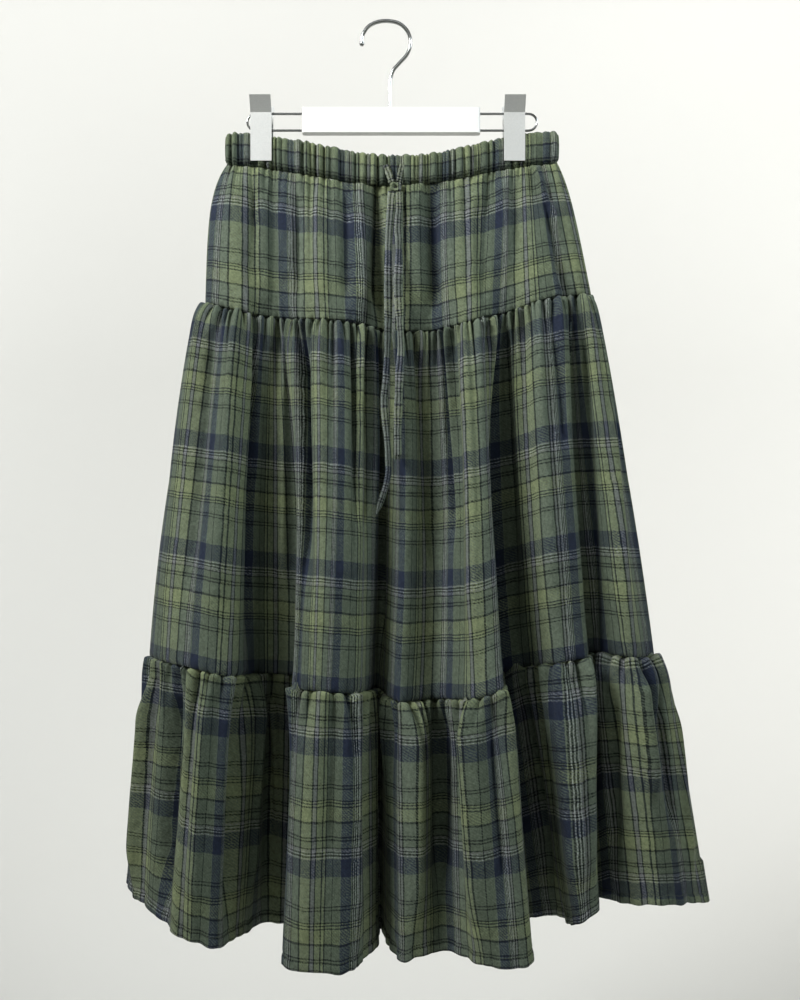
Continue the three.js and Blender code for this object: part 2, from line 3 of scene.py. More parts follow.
import bpy
import numpy as np
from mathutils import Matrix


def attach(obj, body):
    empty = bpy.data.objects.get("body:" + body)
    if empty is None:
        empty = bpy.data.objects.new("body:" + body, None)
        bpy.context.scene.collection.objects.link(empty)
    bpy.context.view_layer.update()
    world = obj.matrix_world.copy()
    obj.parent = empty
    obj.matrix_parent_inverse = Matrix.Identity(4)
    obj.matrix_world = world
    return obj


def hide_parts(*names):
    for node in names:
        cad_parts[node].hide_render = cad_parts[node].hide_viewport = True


# A tiered maxi skirt of brushed plaid cotton, gathered on a drawstring, on a clip hanger.
# Tables and sizes below are millimetres, in the same frame as the solids; MM makes metres.
MM = 0.001
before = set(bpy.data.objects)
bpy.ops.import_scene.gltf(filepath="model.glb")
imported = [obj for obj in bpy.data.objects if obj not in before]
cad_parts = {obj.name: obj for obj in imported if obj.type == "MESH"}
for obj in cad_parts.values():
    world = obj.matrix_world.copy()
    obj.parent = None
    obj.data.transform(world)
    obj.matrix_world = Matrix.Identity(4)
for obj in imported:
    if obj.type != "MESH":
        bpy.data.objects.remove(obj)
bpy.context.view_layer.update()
WORLD = bpy.context.scene.collection

# The fold lines are measured on an upright grid in the plane of the hanger, looked at from
# one eye point. A point that stands out from the plane slides along its sight line.
GRID_STEP = 1.05
GRID_ACROSS_AT_ORIGIN = 389
EYE_ACROSS, EYE_DISTANCE, EYE_DOWN = 11.5, 1100, 501
EYE_GRID_DOWN = 500


def across(grid, out):
    seen = (grid - GRID_ACROSS_AT_ORIGIN) * GRID_STEP
    return EYE_ACROSS + (seen - EYE_ACROSS) * (EYE_DISTANCE - out) / EYE_DISTANCE


def sight_point(grid_across, grid_down, out):
    below = (grid_down - EYE_GRID_DOWN) * GRID_STEP * (EYE_DISTANCE - out) / EYE_DISTANCE
    return np.array([across(grid_across, out), -out, -EYE_DOWN - below])


# --- Camera -------------------------------------------------------------------------------
camera = bpy.data.objects.new("camera", bpy.data.cameras.new("camera"))
camera.data.lens = 37.7
camera.data.sensor_width = 36
camera.location = (EYE_ACROSS * MM, -EYE_DISTANCE * MM, -EYE_DOWN * MM)
camera.rotation_euler = (math.radians(90), 0, 0)
WORLD.objects.link(camera)
bpy.context.scene.camera = camera


# --- Materials ----------------------------------------------------------------------------
def linear(hex_colour):
    """Linear colour from an sRGB hex value."""
    channels = [int(hex_colour[k : k + 2], 16) / 255 for k in (1, 3, 5)]
    return tuple(c / 12.92 if c <= 0.04045 else ((c + 0.055) / 1.055) ** 2.4 for c in channels) + (1.0,)


def dye(hex_colour):
    """Root of the linear colour: two crossing threads multiply, so a colour on itself stays."""
    return tuple(c**0.5 for c in linear(hex_colour)[:3]) + (1.0,)


def add(tree, kind, inputs=None, **settings):
    """One node with its settings and its inputs, each a value or another node's output."""
    made = tree.nodes.new("ShaderNode" + kind)
    for key, value in settings.items():
        setattr(made, key, value)
    for key, value in (inputs or {}).items():
        if isinstance(value, bpy.types.NodeSocket):
            tree.links.new(value, made.inputs[key])
        else:
            made.inputs[key].default_value = value
    return made


def new_material(name):
    made = bpy.data.materials.new(name)
    made.use_nodes = True
    made.node_tree.nodes.clear()
    return made, made.node_tree


def finish_material(tree, inputs):
    shader = add(tree, "BsdfPrincipled", inputs)
    add(tree, "OutputMaterial", {"Surface": shader.outputs[0]})


def noise(tree, scale, detail, roughness=0.5):
    """Noise that is fixed to the object; scale is in waves to the metre."""
    place = add(tree, "TexCoord").outputs["Object"]
    settings = {"Vector": place, "Scale": scale, "Detail": detail, "Roughness": roughness}
    return add(tree, "TexNoise", settings).outputs["Fac"]


def calc(tree, operation, *values):
    return add(tree, "Math", dict(enumerate(values)), operation=operation).outputs[0]


def mix_colours(tree, share, first, second, blend="MIX"):
    inputs = {0: share, 6: first, 7: second}
    return add(tree, "Mix", inputs, data_type="RGBA", blend_type=blend).outputs[2]


def ranged(tree, value, low, high, start=0.0, end=1.0):
    """Carries values from start to end over to low to high."""
    return add(tree, "MapRange", {0: value, 1: start, 2: end, 3: low, 4: high}).outputs[0]


def two_tones(tree, share, dark, light):
    ramp = add(tree, "ValToRGB", {0: share})
    for stop, colour in zip(ramp.color_ramp.elements, (dark, light)):
        stop.color = colour
    return ramp.outputs[0]


def bumped(tree, height, strength, distance, **under):
    inputs = {"Height": height, "Strength": strength, "Distance": distance, **under}
    return add(tree, "Bump", inputs).outputs[0]


# The plaid is yarn-dyed: stripes of coloured threads run down the cloth (warp) and across it
# (weft). Real repeats of the stripes, mm.
WARP_REPEAT = 73.0
WEFT_REPEAT = 112.0
YARNS = {
    "navy": "#1a2233",
    "ink": "#0a100f",
    "green": "#535d50",
    "olive": "#6b7456",
    "heather": "#66686a",
    "moss": "#465042",
    "pale": "#878e8c",
}
# Stripes along each repeat: where it starts, mm, and its yarn. It runs to the next start.
WARP_STRIPES = [
    (0.0, "navy"), (9.5, "green"), (10.1, "ink"), (11.0, "pale"), (11.6, "ink"), (12.4, "pale"),
    (13.0, "ink"), (13.7, "pale"), (14.4, "heather"), (15.4, "ink"), (16.6, "heather"),
    (18.0, "ink"), (19.2, "green"), (27.6, "ink"), (29.4, "olive"), (39.9, "ink"),
    (41.1, "heather"), (44.6, "ink"), (45.8, "olive"), (51.3, "ink"), (52.5, "olive"),
    (55.2, "ink"), (56.6, "moss"), (63.5, "ink"), (64.3, "moss"), (72.4, "green"),
]
WEFT_STRIPES = [
    (0.0, "navy"), (16.5, "heather"), (17.5, "pale"), (18.3, "ink"), (19.8, "heather"), (20.5, "pale"),
    (21.2, "ink"), (22.6, "heather"), (23.2, "pale"), (23.9, "heather"), (25.6, "ink"), (26.9, "green"),
    (32.8, "ink"), (34.2, "green"), (35.8, "ink"), (37.2, "green"), (49.4, "ink"), (51.4, "olive"),
    (64.2, "ink"), (65.6, "olive"), (67.2, "ink"), (68.6, "olive"), (69.9, "ink"), (71.1, "green"),
    (81.2, "ink"), (82.5, "green"), (84.2, "ink"), (85.5, "green"),
]


def stripe_ramp(tree, place, repeat, stripes):
    """Colours of the stripes along one repeat, at places counted in repeats."""
    ramp = add(tree, "ValToRGB", {0: calc(tree, "FRACT", place)})
    ramp.color_ramp.interpolation = "CONSTANT"
    stops = ramp.color_ramp.elements
    while len(stops) < len(stripes):
        stops.new(0.5)
    for stop, (start, yarn) in zip(stops, stripes):
        stop.position = start / repeat
        stop.color = dye(YARNS[yarn])
    return ramp.outputs[0]


def brushed_plaid(name):
    """Yarn-dyed cotton twill, woven and brushed: soft, matt, with a faint fuzz that catches
    light at grazing angles, and threads that show as fine diagonal specks."""
    made, tree = new_material(name)
    cut = add(tree, "UVMap", uv_map="cut")
    warp, weft = add(tree, "SeparateXYZ", {"Vector": cut.outputs[0]}).outputs[:2]
    # Threads lie a little unevenly: stripes wander by about 0.5 mm over 20 mm.
    wander = noise(tree, 55.0, 3.0)
    fuzz = noise(tree, 900.0, 2.0)
    drift = calc(tree, "MULTIPLY_ADD", wander, 0.022, -0.011)
    uneven = calc(tree, "MULTIPLY_ADD", fuzz, 0.012, drift)
    warp_dye, weft_dye = (
        stripe_ramp(tree, calc(tree, "ADD", place, uneven), repeat, stripes)
        for place, repeat, stripes in (
            (warp, WARP_REPEAT, WARP_STRIPES), (weft, WEFT_REPEAT, WEFT_STRIPES)))
    crossed = mix_colours(tree, 1.0, warp_dye, weft_dye, "MULTIPLY")
    # Twill: threads are 0.5 mm apart in life and drawn at 1.5 mm, or they would not show.
    warp_mm = calc(tree, "MULTIPLY", warp, WARP_REPEAT)
    weft_mm = calc(tree, "MULTIPLY", weft, WEFT_REPEAT)
    twill = calc(tree, "PINGPONG", calc(tree, "ADD", warp_mm, weft_mm), 1.5)
    # Where a warp thread lies over the weft, and where under it: the brushed yarn is uneven,
    # so a stripe of few threads shows as a broken line.
    flat = add(tree, "CombineXYZ", {"X": warp_mm, "Y": weft_mm}).outputs[0]
    settings = {"Vector": flat, "Scale": 0.78, "Detail": 2.0, "Roughness": 0.8}
    tangle = add(tree, "TexNoise", settings).outputs["Fac"]
    lifted = calc(tree, "MULTIPLY_ADD", twill, 0.14, tangle)
    over = ranged(tree, lifted, 0.06, 0.94, start=0.53, end=0.73)
    top_dye = mix_colours(tree, over, warp_dye, weft_dye)
    top = mix_colours(tree, 1.0, top_dye, top_dye, "MULTIPLY")
    threads = mix_colours(tree, 0.7, crossed, top)
    # Brushing lifts short fibres unevenly, in soft patches of a few millimetres.
    nap = ranged(tree, noise(tree, 330.0, 4.0, 0.85), 0.62, 1.4, start=0.3, end=0.7)
    shaded = add(tree, "VectorMath", {0: threads, 3: nap}, operation="SCALE").outputs[0]
    # Unpressed cotton keeps slight dents a few centimetres wide.
    crumple = bumped(tree, noise(tree, 75.0, 2.0, 0.4), 0.5, 0.004)
    raised = calc(tree, "MULTIPLY_ADD", twill, 0.35, fuzz)
    finish_material(tree, {
        "Base Color": shaded, "Roughness": 0.92, "IOR": 1.5, "Specular IOR Level": 0.25,
        "Sheen Weight": 0.12, "Sheen Roughness": 0.45, "Sheen Tint": linear("#b9c2a8"),
        "Normal": bumped(tree, raised, 0.5, 0.0004, Normal=crumple),
    })
    return made


def spun_thread(name, hex_colour):
    """Polyester sewing thread, twisted: a little smoother than the cloth round it."""
    made, tree = new_material(name)
    twist = noise(tree, 1500.0, 2.0)
    light = linear(hex_colour)
    dark = tuple(c * 0.7 for c in light[:3]) + (1.0,)
    finish_material(tree, {
        "Base Color": two_tones(tree, twist, dark, light), "Roughness": 0.7, "IOR": 1.5,
        "Normal": bumped(tree, twist, 0.3, 0.0001)})
    return made


def chromed_steel(name):
    """Steel wire, chromium plated: mirror bright, with faint drawing marks and handling haze."""
    made, tree = new_material(name)
    haze = noise(tree, 140.0, 5.0)
    finish_material(tree, {
        "Base Color": two_tones(tree, haze, linear("#8d908f"), linear("#b4b6b5")),
        "Metallic": 1.0, "Roughness": ranged(tree, haze, 0.08, 0.24),
        "Normal": bumped(tree, haze, 0.04, 0.0004)})
    return made


def sprayed_steel(name):
    """Pressed steel sheet, sprayed with aluminium lacquer: satin, its flakes lying nearly flat,
    with a fine even grain and soft scuffs."""
    made, tree = new_material(name)
    # Flakes are 0.05 mm across in life and drawn at 1 mm, or they would not show.
    grain = noise(tree, 900.0, 3.0, 0.65)
    finish_material(tree, {
        "Base Color": two_tones(tree, grain, linear("#b6b8b5"), linear("#d2d3d0")),
        "Metallic": 0.4, "Roughness": ranged(tree, noise(tree, 60.0, 3.0), 0.42, 0.58),
        "Normal": bumped(tree, grain, 0.08, 0.0002)})
    return made


def white_lacquer(name):
    """Moulded ABS, lacquered white: an even gloss with a slow orange-peel ripple."""
    made, tree = new_material(name)
    peel = noise(tree, 160.0, 2.0)
    finish_material(tree, {
        "Base Color": two_tones(tree, peel, linear("#dcdcd8"), linear("#e9e9e5")),
        "Roughness": 0.25, "IOR": 1.5, "Coat Weight": 0.4, "Coat Roughness": 0.08,
        "Normal": bumped(tree, peel, 0.05, 0.0006)})
    return made


def painted_studio(name, hex_colour):
    """Matt paint on plaster: an even pale sweep with a faint roller texture."""
    made, tree = new_material(name)
    finish_material(tree, {
        "Base Color": linear(hex_colour), "Roughness": 0.95, "IOR": 1.45,
        "Normal": bumped(tree, noise(tree, 30.0, 4.0), 0.03, 0.001)})
    return made


PLAID = brushed_plaid("brushed_plaid_cotton")
SEWING_THREAD = spun_thread("dark_green_sewing_thread", "#39422f")
LOOSE_THREAD = spun_thread("white_loose_thread", "#d9dcd6")
CHROMED_WIRE = chromed_steel("chromed_steel_wire")
SPRAYED_STEEL = sprayed_steel("steel_sprayed_with_aluminium_lacquer")
LACQUERED_BAR = white_lacquer("white_lacquered_abs")


# --- Meshes -------------------------------------------------------------------------------
def piece(name, points, faces, material, cut=None, stage=False):
    """A mesh object from millimetre points. cut gives each point's place on the flat cloth."""
    mesh = bpy.data.meshes.new(name)
    mesh.from_pydata((np.asarray(points) * MM).tolist(), [], [list(f) for f in faces])
    if cut is not None:
        layer = mesh.uv_layers.new(name="cut")
        corners = np.empty(len(mesh.loops), dtype=np.int32)
        mesh.loops.foreach_get("vertex_index", corners)
        layer.data.foreach_set("uv", np.asarray(cut, dtype=np.float32)[corners].ravel())
    mesh.shade_smooth()
    mesh.materials.append(material)
    made = bpy.data.objects.new(name, mesh)
    WORLD.objects.link(made)
    if stage:
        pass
    else:
        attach(made, "root")
    return made


def grid_faces(rows, columns, around=False):
    """Faces of a sheet of points: rows down, columns along. around joins the last column."""
    wide = columns if around else columns - 1
    r, c = np.meshgrid(np.arange(rows - 1), np.arange(wide), indexing="ij")
    a = r * columns + c
    b = r * columns + (c + 1) % columns
    return np.stack([a, a + columns, b + columns, b], axis=-1).reshape(-1, 4)


def tube_faces(rows, sides):
    """Faces of a tube of points, closed at both ends."""
    faces = [list(f) for f in grid_faces(rows, sides, around=True)]
    return faces + [list(range(sides)), list(range((rows - 1) * sides, rows * sides))[::-1]]


def round_angles(sides):
    return np.linspace(0, 2 * math.pi, sides, endpoint=False)


def run_along(points):
    """Distance run at each point of a path."""
    steps = np.linalg.norm(np.diff(points, axis=0), axis=1)
    return np.concatenate([[0], np.cumsum(steps)])


def smoothstep(x):
    x = np.clip(x, 0, 1)
    return x * x * (3 - 2 * x)


def smooth_path(points, steps):
    """Points at even spacing on a smooth curve through the given ones."""
    pts = np.asarray(points, dtype=float)
    ends = np.vstack([2 * pts[0] - pts[1], pts, 2 * pts[-1] - pts[-2]])
    knots = np.concatenate([[0], np.cumsum(np.linalg.norm(np.diff(ends, axis=0), axis=1) ** 0.5)])
    fine = []
    for i in range(1, len(pts)):
        t = np.linspace(knots[i], knots[i + 1], 24, endpoint=i == len(pts) - 1)[:, None]
        k = knots[i - 1 : i + 3]
        p = ends[i - 1 : i + 3]
        a = [p[j] + (p[j + 1] - p[j]) * (t - k[j]) / (k[j + 1] - k[j]) for j in range(3)]
        b = [a[j] + (a[j + 1] - a[j]) * (t - k[j]) / (k[j + 2] - k[j]) for j in range(2)]
        fine.append(b[0] + (b[1] - b[0]) * (t - k[1]) / (k[2] - k[1]))
    fine = np.vstack(fine)
    run = run_along(fine)
    even = np.linspace(0, run[-1], steps)
    return np.stack([np.interp(even, run, fine[:, k]) for k in range(3)], axis=1)


WAVES = 9  # crossing sines in one soft noise


def soft_noise(u, v, seed, grain, stretch=1.0):
    """Slow uneven waves in the cloth, from a few crossing sines."""
    rng = np.random.default_rng(seed)
    total = np.zeros(np.broadcast(u, v).shape)
    for _ in range(WAVES):
        angle = rng.uniform(0, 2 * math.pi)
        pitch = grain * rng.uniform(0.6, 1.7)
        way = u * math.cos(angle) + v * math.sin(angle) / stretch
        total += np.sin(way * 2 * math.pi / pitch + rng.uniform(0, 6.28))
    return total / WAVES


def path_frames(path, start_side):
    """Tangent and two side directions at each point of a path, carried along without twist."""
    tangent = np.gradient(path, axis=0)
    tangent /= np.linalg.norm(tangent, axis=1)[:, None]
    side = np.zeros_like(path)
    last = np.asarray(start_side, dtype=float)
    for k, t in enumerate(tangent):
        last = last - t * last.dot(t)
        last /= np.linalg.norm(last)
        side[k] = last
    return tangent, side, np.cross(tangent, side)


def swept_wire(name, path, diameter, material, sides=16, ends=True):
    """A round wire along a path, with domed ends."""
    tangent, side, up = path_frames(path, (0, 1, 0))
    size = np.full(len(path), diameter / 2)
    if ends:
        dome = diameter * 0.2
        path = np.vstack([path[0] - tangent[0] * dome, path, path[-1] + tangent[-1] * dome])
        side, up = (np.vstack([d[:1], d, d[-1:]]) for d in (side, up))
        size = np.concatenate([[diameter * 0.24], size, [diameter * 0.24]])
    angle = round_angles(sides)[None, :, None]
    ring = np.cos(angle) * side[:, None] + np.sin(angle) * up[:, None]
    points = path[:, None] + ring * size[:, None, None]
    return piece(name, points.reshape(-1, 3), tube_faces(len(path), sides), material)


# --- Drawstring ---------------------------------------------------------------------------
# A flat string sewn from the same plaid. Each row: grid steps across and down, mm out.
STRING_WIDTH = 6.6
STRING_THICK = 2.0
KNOT_AT = sight_point(395.5, 187, 18.9)
LEFT_STRAND = [(385.5, 165, 15.9), (388, 171, 16.7), (391.6, 182.2, 18.2)]
RIGHT_STRAND = [(403.5, 165, 16.1), (401.5, 171, 16.7), (399.4, 182.2, 18.2)]
LEFT_TAIL = [
    (392.4, 191.7, 19.5), (391.2, 204, 21), (388.5, 243, 23.5), (388, 298, 30), (388, 320, 31.5),
    (386, 376, 35), (384, 399, 37), (385, 418, 39), (387, 439, 41), (388, 455, 42.5),
    (388, 474, 44), (385, 488, 45.5), (378, 509, 47.5), (376, 515, 48),
]
RIGHT_TAIL = [
    (399.4, 191.7, 19.6), (399.6, 208, 22), (398.8, 225, 23), (399, 249, 24.5), (398.5, 297, 31),
    (400, 320, 32.5), (401, 348, 34), (399.5, 376, 36), (397.8, 425, 40.5), (398, 455, 43),
]


def flat_string(name, route, node, seed, phase, steps, width=STRING_WIDTH, tip=0.0, twist=0.5):
    """A folded and stitched strip of the plaid: an oval section with a groove along one edge.
    tip is the length over which it runs out to a point."""
    path = smooth_path([sight_point(*row) for row in route], steps)
    _, side, up = path_frames(path, (1, 0, 0))
    run = run_along(path)
    rng = np.random.default_rng(seed)
    sway = np.interp(run, np.linspace(0, run[-1], 9), rng.uniform(-twist, twist, 9))
    sway -= sway[0]
    breadth = width / 2 * np.interp(run, np.linspace(0, run[-1], 14), rng.uniform(1.05, 1.5, 14))
    if tip:
        breadth *= np.clip((run[-1] - run) / tip, 0.12, 1) ** 0.7
    across_dir = side * np.cos(sway)[:, None] + up * np.sin(sway)[:, None]
    out_dir = -side * np.sin(sway)[:, None] + up * np.cos(sway)[:, None]
    sides = 14
    angle = round_angles(sides) + 0.2
    wide = np.sign(np.cos(angle)) * np.abs(np.cos(angle)) ** 0.75
    thick = np.sign(np.sin(angle)) * np.abs(np.sin(angle)) ** 0.9
    groove = 1 - 0.35 * np.exp(-(((wide - 0.6) / 0.16) ** 2))
    crush = 1 + 0.35 * soft_noise(run[:, None], wide[None, :] * 6, seed + 50, 9)
    points = (path[:, None] + across_dir[:, None] * (wide[None, :] * breadth[:, None])[..., None]
              + out_dir[:, None] * ((thick * groove)[None, :] * crush * STRING_THICK / 2)[..., None])
    warp = (phase + wide * width / 2) / WARP_REPEAT
    weft = (run + phase * 3) / WEFT_REPEAT
    cut = np.stack(np.meshgrid(warp, weft), axis=-1)
    made = piece(name, points.reshape(-1, 3), tube_faces(steps, sides), PLAID,
                 cut.reshape(-1, 2))
    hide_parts(node)
    return made, path, run[-1]


def knot():
    """One overhand crossing of the two strands, pulled snug: a rolled loop over a core."""
    steps, sides = 33, 12
    angle = round_angles(sides)[None, :, None]
    turn = np.linspace(0, 2 * math.pi, 15)[:-1]
    rings = []
    for k, (tilt, reach) in enumerate(((0.5, 4.6), (-0.55, 4.3))):
        x = np.cos(turn) * reach
        y = -0.3 - np.cos(turn * 2 + k) * 0.8 - 0.4 * k
        z = np.sin(turn) * 3.2 + np.cos(turn) * tilt * 3
        loop = KNOT_AT + np.stack([x, y, z], axis=1)
        path = smooth_path(np.vstack([loop, loop[:1]]), steps)
        _, side, up = path_frames(path, (0, 1, 0))
        ring = np.cos(angle) * side[:, None] * 1.9 + np.sin(angle) * up[:, None] * 1.7
        rings.append(path[:, None] + ring)
    points = np.concatenate(rings).reshape(-1, 3)
    faces = grid_faces(steps, sides, around=True)
    faces = np.vstack([faces, faces + steps * sides])
    cut = np.stack([(points[:, 0] + 30) / WARP_REPEAT, (-points[:, 2] * 1.5) / WEFT_REPEAT], axis=1)
    made = piece("drawstring_knot_loops", points, faces, PLAID, cut)
    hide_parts("drawstring_knot")
    return made


def frayed_end(path, seed):
    """Loose threads at the raw end of the shorter tail."""
    rng = np.random.default_rng(seed)
    points, faces = [], []
    down = path[-1] - path[-4]
    down /= np.linalg.norm(down)
    for _ in range(16):
        start = path[-1] + np.array([rng.uniform(-2.8, 2.8), rng.uniform(-0.7, 0.7), 0.8])
        lean = np.array([rng.uniform(-0.5, 0.5), rng.uniform(-0.25, 0.1), 0])
        reach = rng.uniform(3, 7.5)
        run = np.linspace(0, 1, 7)[:, None]
        line = start + (down + lean * run) * reach * run
        base = len(points)
        for row in line:
            for a in range(4):
                turn = a * math.pi / 2
                points.append(row + np.array([math.cos(turn), math.sin(turn), 0]) * 0.22)
        faces += [[base + f for f in face] for face in grid_faces(7, 4, around=True)]
    cut = np.zeros((len(points), 2)) + 0.62
    return piece("drawstring_frayed_threads", points, faces, PLAID, cut)


left_strand, _, _ = flat_string(
    "drawstring_left_strand", LEFT_STRAND, "drawstring_strand_left", 3, 16, 16, width=5.6)
right_strand, _, _ = flat_string(
    "drawstring_right_strand", RIGHT_STRAND, "drawstring_strand_right", 4, 17, 16, width=5.6)
left_tail, left_path, left_long = flat_string(
    "drawstring_left_tail", LEFT_TAIL, "drawstring_tail_left", 5, 16.5, 260, tip=14)
right_tail, right_path, right_long = flat_string(
    "drawstring_right_tail", RIGHT_TAIL, "drawstring_tail_right", 6, 17, 220, twist=0.6)
string_knot = knot()
string_fray = frayed_end(right_path, 7)

# --- Fold lines of the hanging skirt ------------------------------------------------------
# Front, from the left side seam to the right one. Columns: grid steps across at the waist,
# first seam, middle of the middle tier, second seam and hem, then mm out at the same places.
FRONT_FOLDS = [
    ("left side seam", 226, 205, 171, 150, 127, 0, 0, -2, -3, -4),
    ("left shoulder", 228, 210, 179, 160, 144, 3.4, 11, 20, 32, 44),
    ("crest A, left", 236, 230, 212, 198, 178, 4.6, 24, 46, 68, 90),
    ("crest A, right", 246, 246, 236, 226, 214, 4.4, 25, 48, 68, 90),
    ("slope after A", 258, 258, 250, 246, 236, 4.4, 16, 28, 38, 50),
    ("valley A to B", 272, 271, 267, 267, 262, 4.4, 12, 11, 9, 6),
    ("valley tucked under B", 285, 286, 304, 306, 302, 6, 13, 16, 12, 9),
    ("left edge of B", 298, 298, 299, 293, 281, 8.5, 20, 46, 72, 96),
    ("crest B", 330, 332, 332, 325, 318, 11, 30, 58, 82, 108),
    ("right shoulder of B", 352, 356, 358, 353, 352, 11, 27, 52, 74, 100),
    ("slope after B", 368, 371, 372, 368, 371, 11, 16, 28, 40, 60),
    ("valley B to C", 380, 381, 382, 377, 380, 11, 9, 9, 9, 8),
    ("crest C", 402, 401, 404, 398, 402, 12, 20, 38, 60, 88),
    ("soft valley in C", 430, 432, 438, 436, 444, 12, 16, 22, 42, 66),
    ("crest C, right", 462, 466, 474, 478, 492, 10, 32, 56, 84, 108),
    ("right edge of C", 488, 484, 492, 503, 531, 6.5, 29, 50, 80, 102),
    ("valley tucked under C", 497, 494, 487, 495, 520, 5, 20, 18, 13, 9),
    ("valley C to D", 508, 505, 508, 520, 553, 4.4, 14, 12, 9, 7),
    ("crest D", 528, 536, 546, 560, 580, 4.4, 22, 38, 50, 64),
    ("right edge of D", 538, 560, 572, 587, 599, 4.4, 18, 32, 42, 56),
    ("valley tucked under D", 544, 566, 574, 588, 597, 4.2, 9, 9, 8, 7),
    ("slope up to E", 549, 574, 588, 606, 622, 4.4, 9, 16, 20, 26),
    ("crest E", 553, 583, 606, 632, 660, 4.2, 10, 24, 36, 50),
    ("shoulder of E", 556.5, 589, 618, 646, 690, 3.2, 5, 12, 18, 28),
    ("right side seam", 558, 592, 626, 654, 707, 0, 0, -2, -3, -4),
]
# Back, from the right side seam to the left one. Columns: part of the way across from the
# left, then mm back at the waist, first seam, second seam and hem.
BACK_FOLDS = [
    ("right turn", 0.965, 3.6, 8, 11, 13), ("outer fold 1", 0.915, 4.4, 13, 24, 32),
    ("inner fold 1", 0.85, 4.4, 11, 15, 16), ("outer fold 2", 0.775, 7.2, 16, 28, 38),
    ("inner fold 2", 0.7, 9.8, 12, 16, 17), ("outer fold 3", 0.625, 11.4, 16, 27, 36),
    ("inner fold 3", 0.555, 12, 13, 17, 18), ("outer fold 4", 0.48, 12, 17, 29, 39),
    ("inner fold 4", 0.405, 11.6, 12, 16, 17), ("outer fold 5", 0.335, 10.6, 16, 27, 37),
    ("inner fold 5", 0.265, 8.6, 12, 15, 16), ("outer fold 6", 0.19, 5.4, 16, 26, 34),
    ("inner fold 6", 0.13, 4.4, 12, 16, 17), ("outer fold 7", 0.075, 4.4, 12, 22, 28),
    ("left turn", 0.03, 3.4, 8, 12, 14),
]
# Heights of the edges and seams at stations from the left side (0) to the right one (1).
HEIGHT_COLUMNS = ("bandTop", "casing", "firstSeam", "secondSeam", "hem")
HEIGHTS = np.array([
    (0.0, -116, -150, -295, -664, -903), (0.1, -118, -152, -307, -667, -919),
    (0.25, -128, -162, -314, -683, -944), (0.4, -139, -171, -319, -690, -949),
    (0.5, -142, -173, -326, -702, -946), (0.6, -141, -171, -325, -699, -944),
    (0.7, -134, -166, -316, -683, -943), (0.8, -124, -157, -303, -664, -922),
    (0.9, -117, -151, -291, -660, -907), (1.0, -114, -148, -286, -664, -922),
])
LEVELS = ("waist", "firstSeam", "middle", "secondSeam", "hem")
BACK_LEVELS = ("waist", "firstSeam", "secondSeam", "hem")
MIDDLE_AT = 0.47
FRONT = np.array([row[1:] for row in FRONT_FOLDS], dtype=float)
BACK = np.array([row[1:] for row in BACK_FOLDS], dtype=float)
FRONT_COUNT = len(FRONT)
LINE_COUNT = FRONT_COUNT + len(BACK)

# Each strip of cloth: level and height column at its top and foot, how far it puffs off the
# straight line between its seams at the left and right, and how it was cut, mm.
TIER_COLUMNS = ("top", "foot", "puff", "rise", "end", "cut")
TIERS = {name: dict(zip(TIER_COLUMNS, row)) for name, row in {
    "band": (("waist", "bandTop"), ("waist", "casing"), (0, 0), 0.1, 1, 33),
    "top": (("waist", "casing"), ("firstSeam", "firstSeam"), (19, 9), 0.23, 1, 147),
    "middle": (("firstSeam", "firstSeam"), ("secondSeam", "secondSeam"), (11, 5), 0.02, 0.5, 371),
    "bottom": (("secondSeam", "secondSeam"), ("hem", "hem"), (2, 14), 0.06, 1, 258),
}.items()}


def station_height(column, station):
    """Height of an edge, as the smooth curve through its stations."""
    s = np.clip(station, 0, 1)
    at, value = HEIGHTS[:, 0], HEIGHTS[:, 1 + HEIGHT_COLUMNS.index(column)]
    k = np.clip(np.searchsorted(at, s, side="left") - 1, 0, len(at) - 2)
    wide = at[k + 1] - at[k]
    u = (s - at[k]) / wide

    def slope(i):
        a, b = np.maximum(i - 1, 0), np.minimum(i + 1, len(at) - 1)
        return (value[b] - value[a]) / (at[b] - at[a])

    h = u * u * (3 - 2 * u)
    return (value[k] + (value[k + 1] - value[k]) * h + u * (1 - u) ** 2 * wide * slope(k)
            - u * u * (1 - u) * wide * slope(k + 1))


def fold_lines(tier, t):
    """Places of all the fold lines at parts t of the way down a strip: (t, line, xyz)."""
    t = np.asarray(t, dtype=float)[:, None]
    a, b = LEVELS.index(tier["top"][0]), LEVELS.index(tier["foot"][0])

    def along(first):
        top, foot = FRONT[None, :, first + a], FRONT[None, :, first + b]
        line = top + (foot - top) * t
        if (a, b) != (1, 3):
            return line
        off = FRONT[None, :, first + 2] - top - (foot - top) * MIDDLE_AT
        bow = off / (MIDDLE_AT * (1 - MIDDLE_AT))
        return line + bow * t * (1 - t)

    out = along(5)
    x_front = across(along(0), out)
    c, d = BACK_LEVELS.index(tier["top"][0]), BACK_LEVELS.index(tier["foot"][0])
    y_back = BACK[None, :, 1 + c] + (BACK[None, :, 1 + d] - BACK[None, :, 1 + c]) * t
    x_back = x_front[:, :1] + (x_front[:, -1:] - x_front[:, :1]) * BACK[None, :, 0]
    x = np.concatenate([x_front, x_back], axis=1)
    y = np.concatenate([-out, y_back], axis=1)
    z = []
    for (level, column), row in ((tier["top"], 0.0), (tier["foot"], 1.0)):
        k = LEVELS.index(level)
        left, right = across(FRONT[0, k], FRONT[0, 5 + k]), across(FRONT[-1, k], FRONT[-1, 5 + k])
        edge = fold_edge(tier, row)
        z.append(station_height(column, (edge - left) / (right - left))[None, :])
    return np.stack([x, y, z[0] + (z[1] - z[0]) * t], axis=-1)


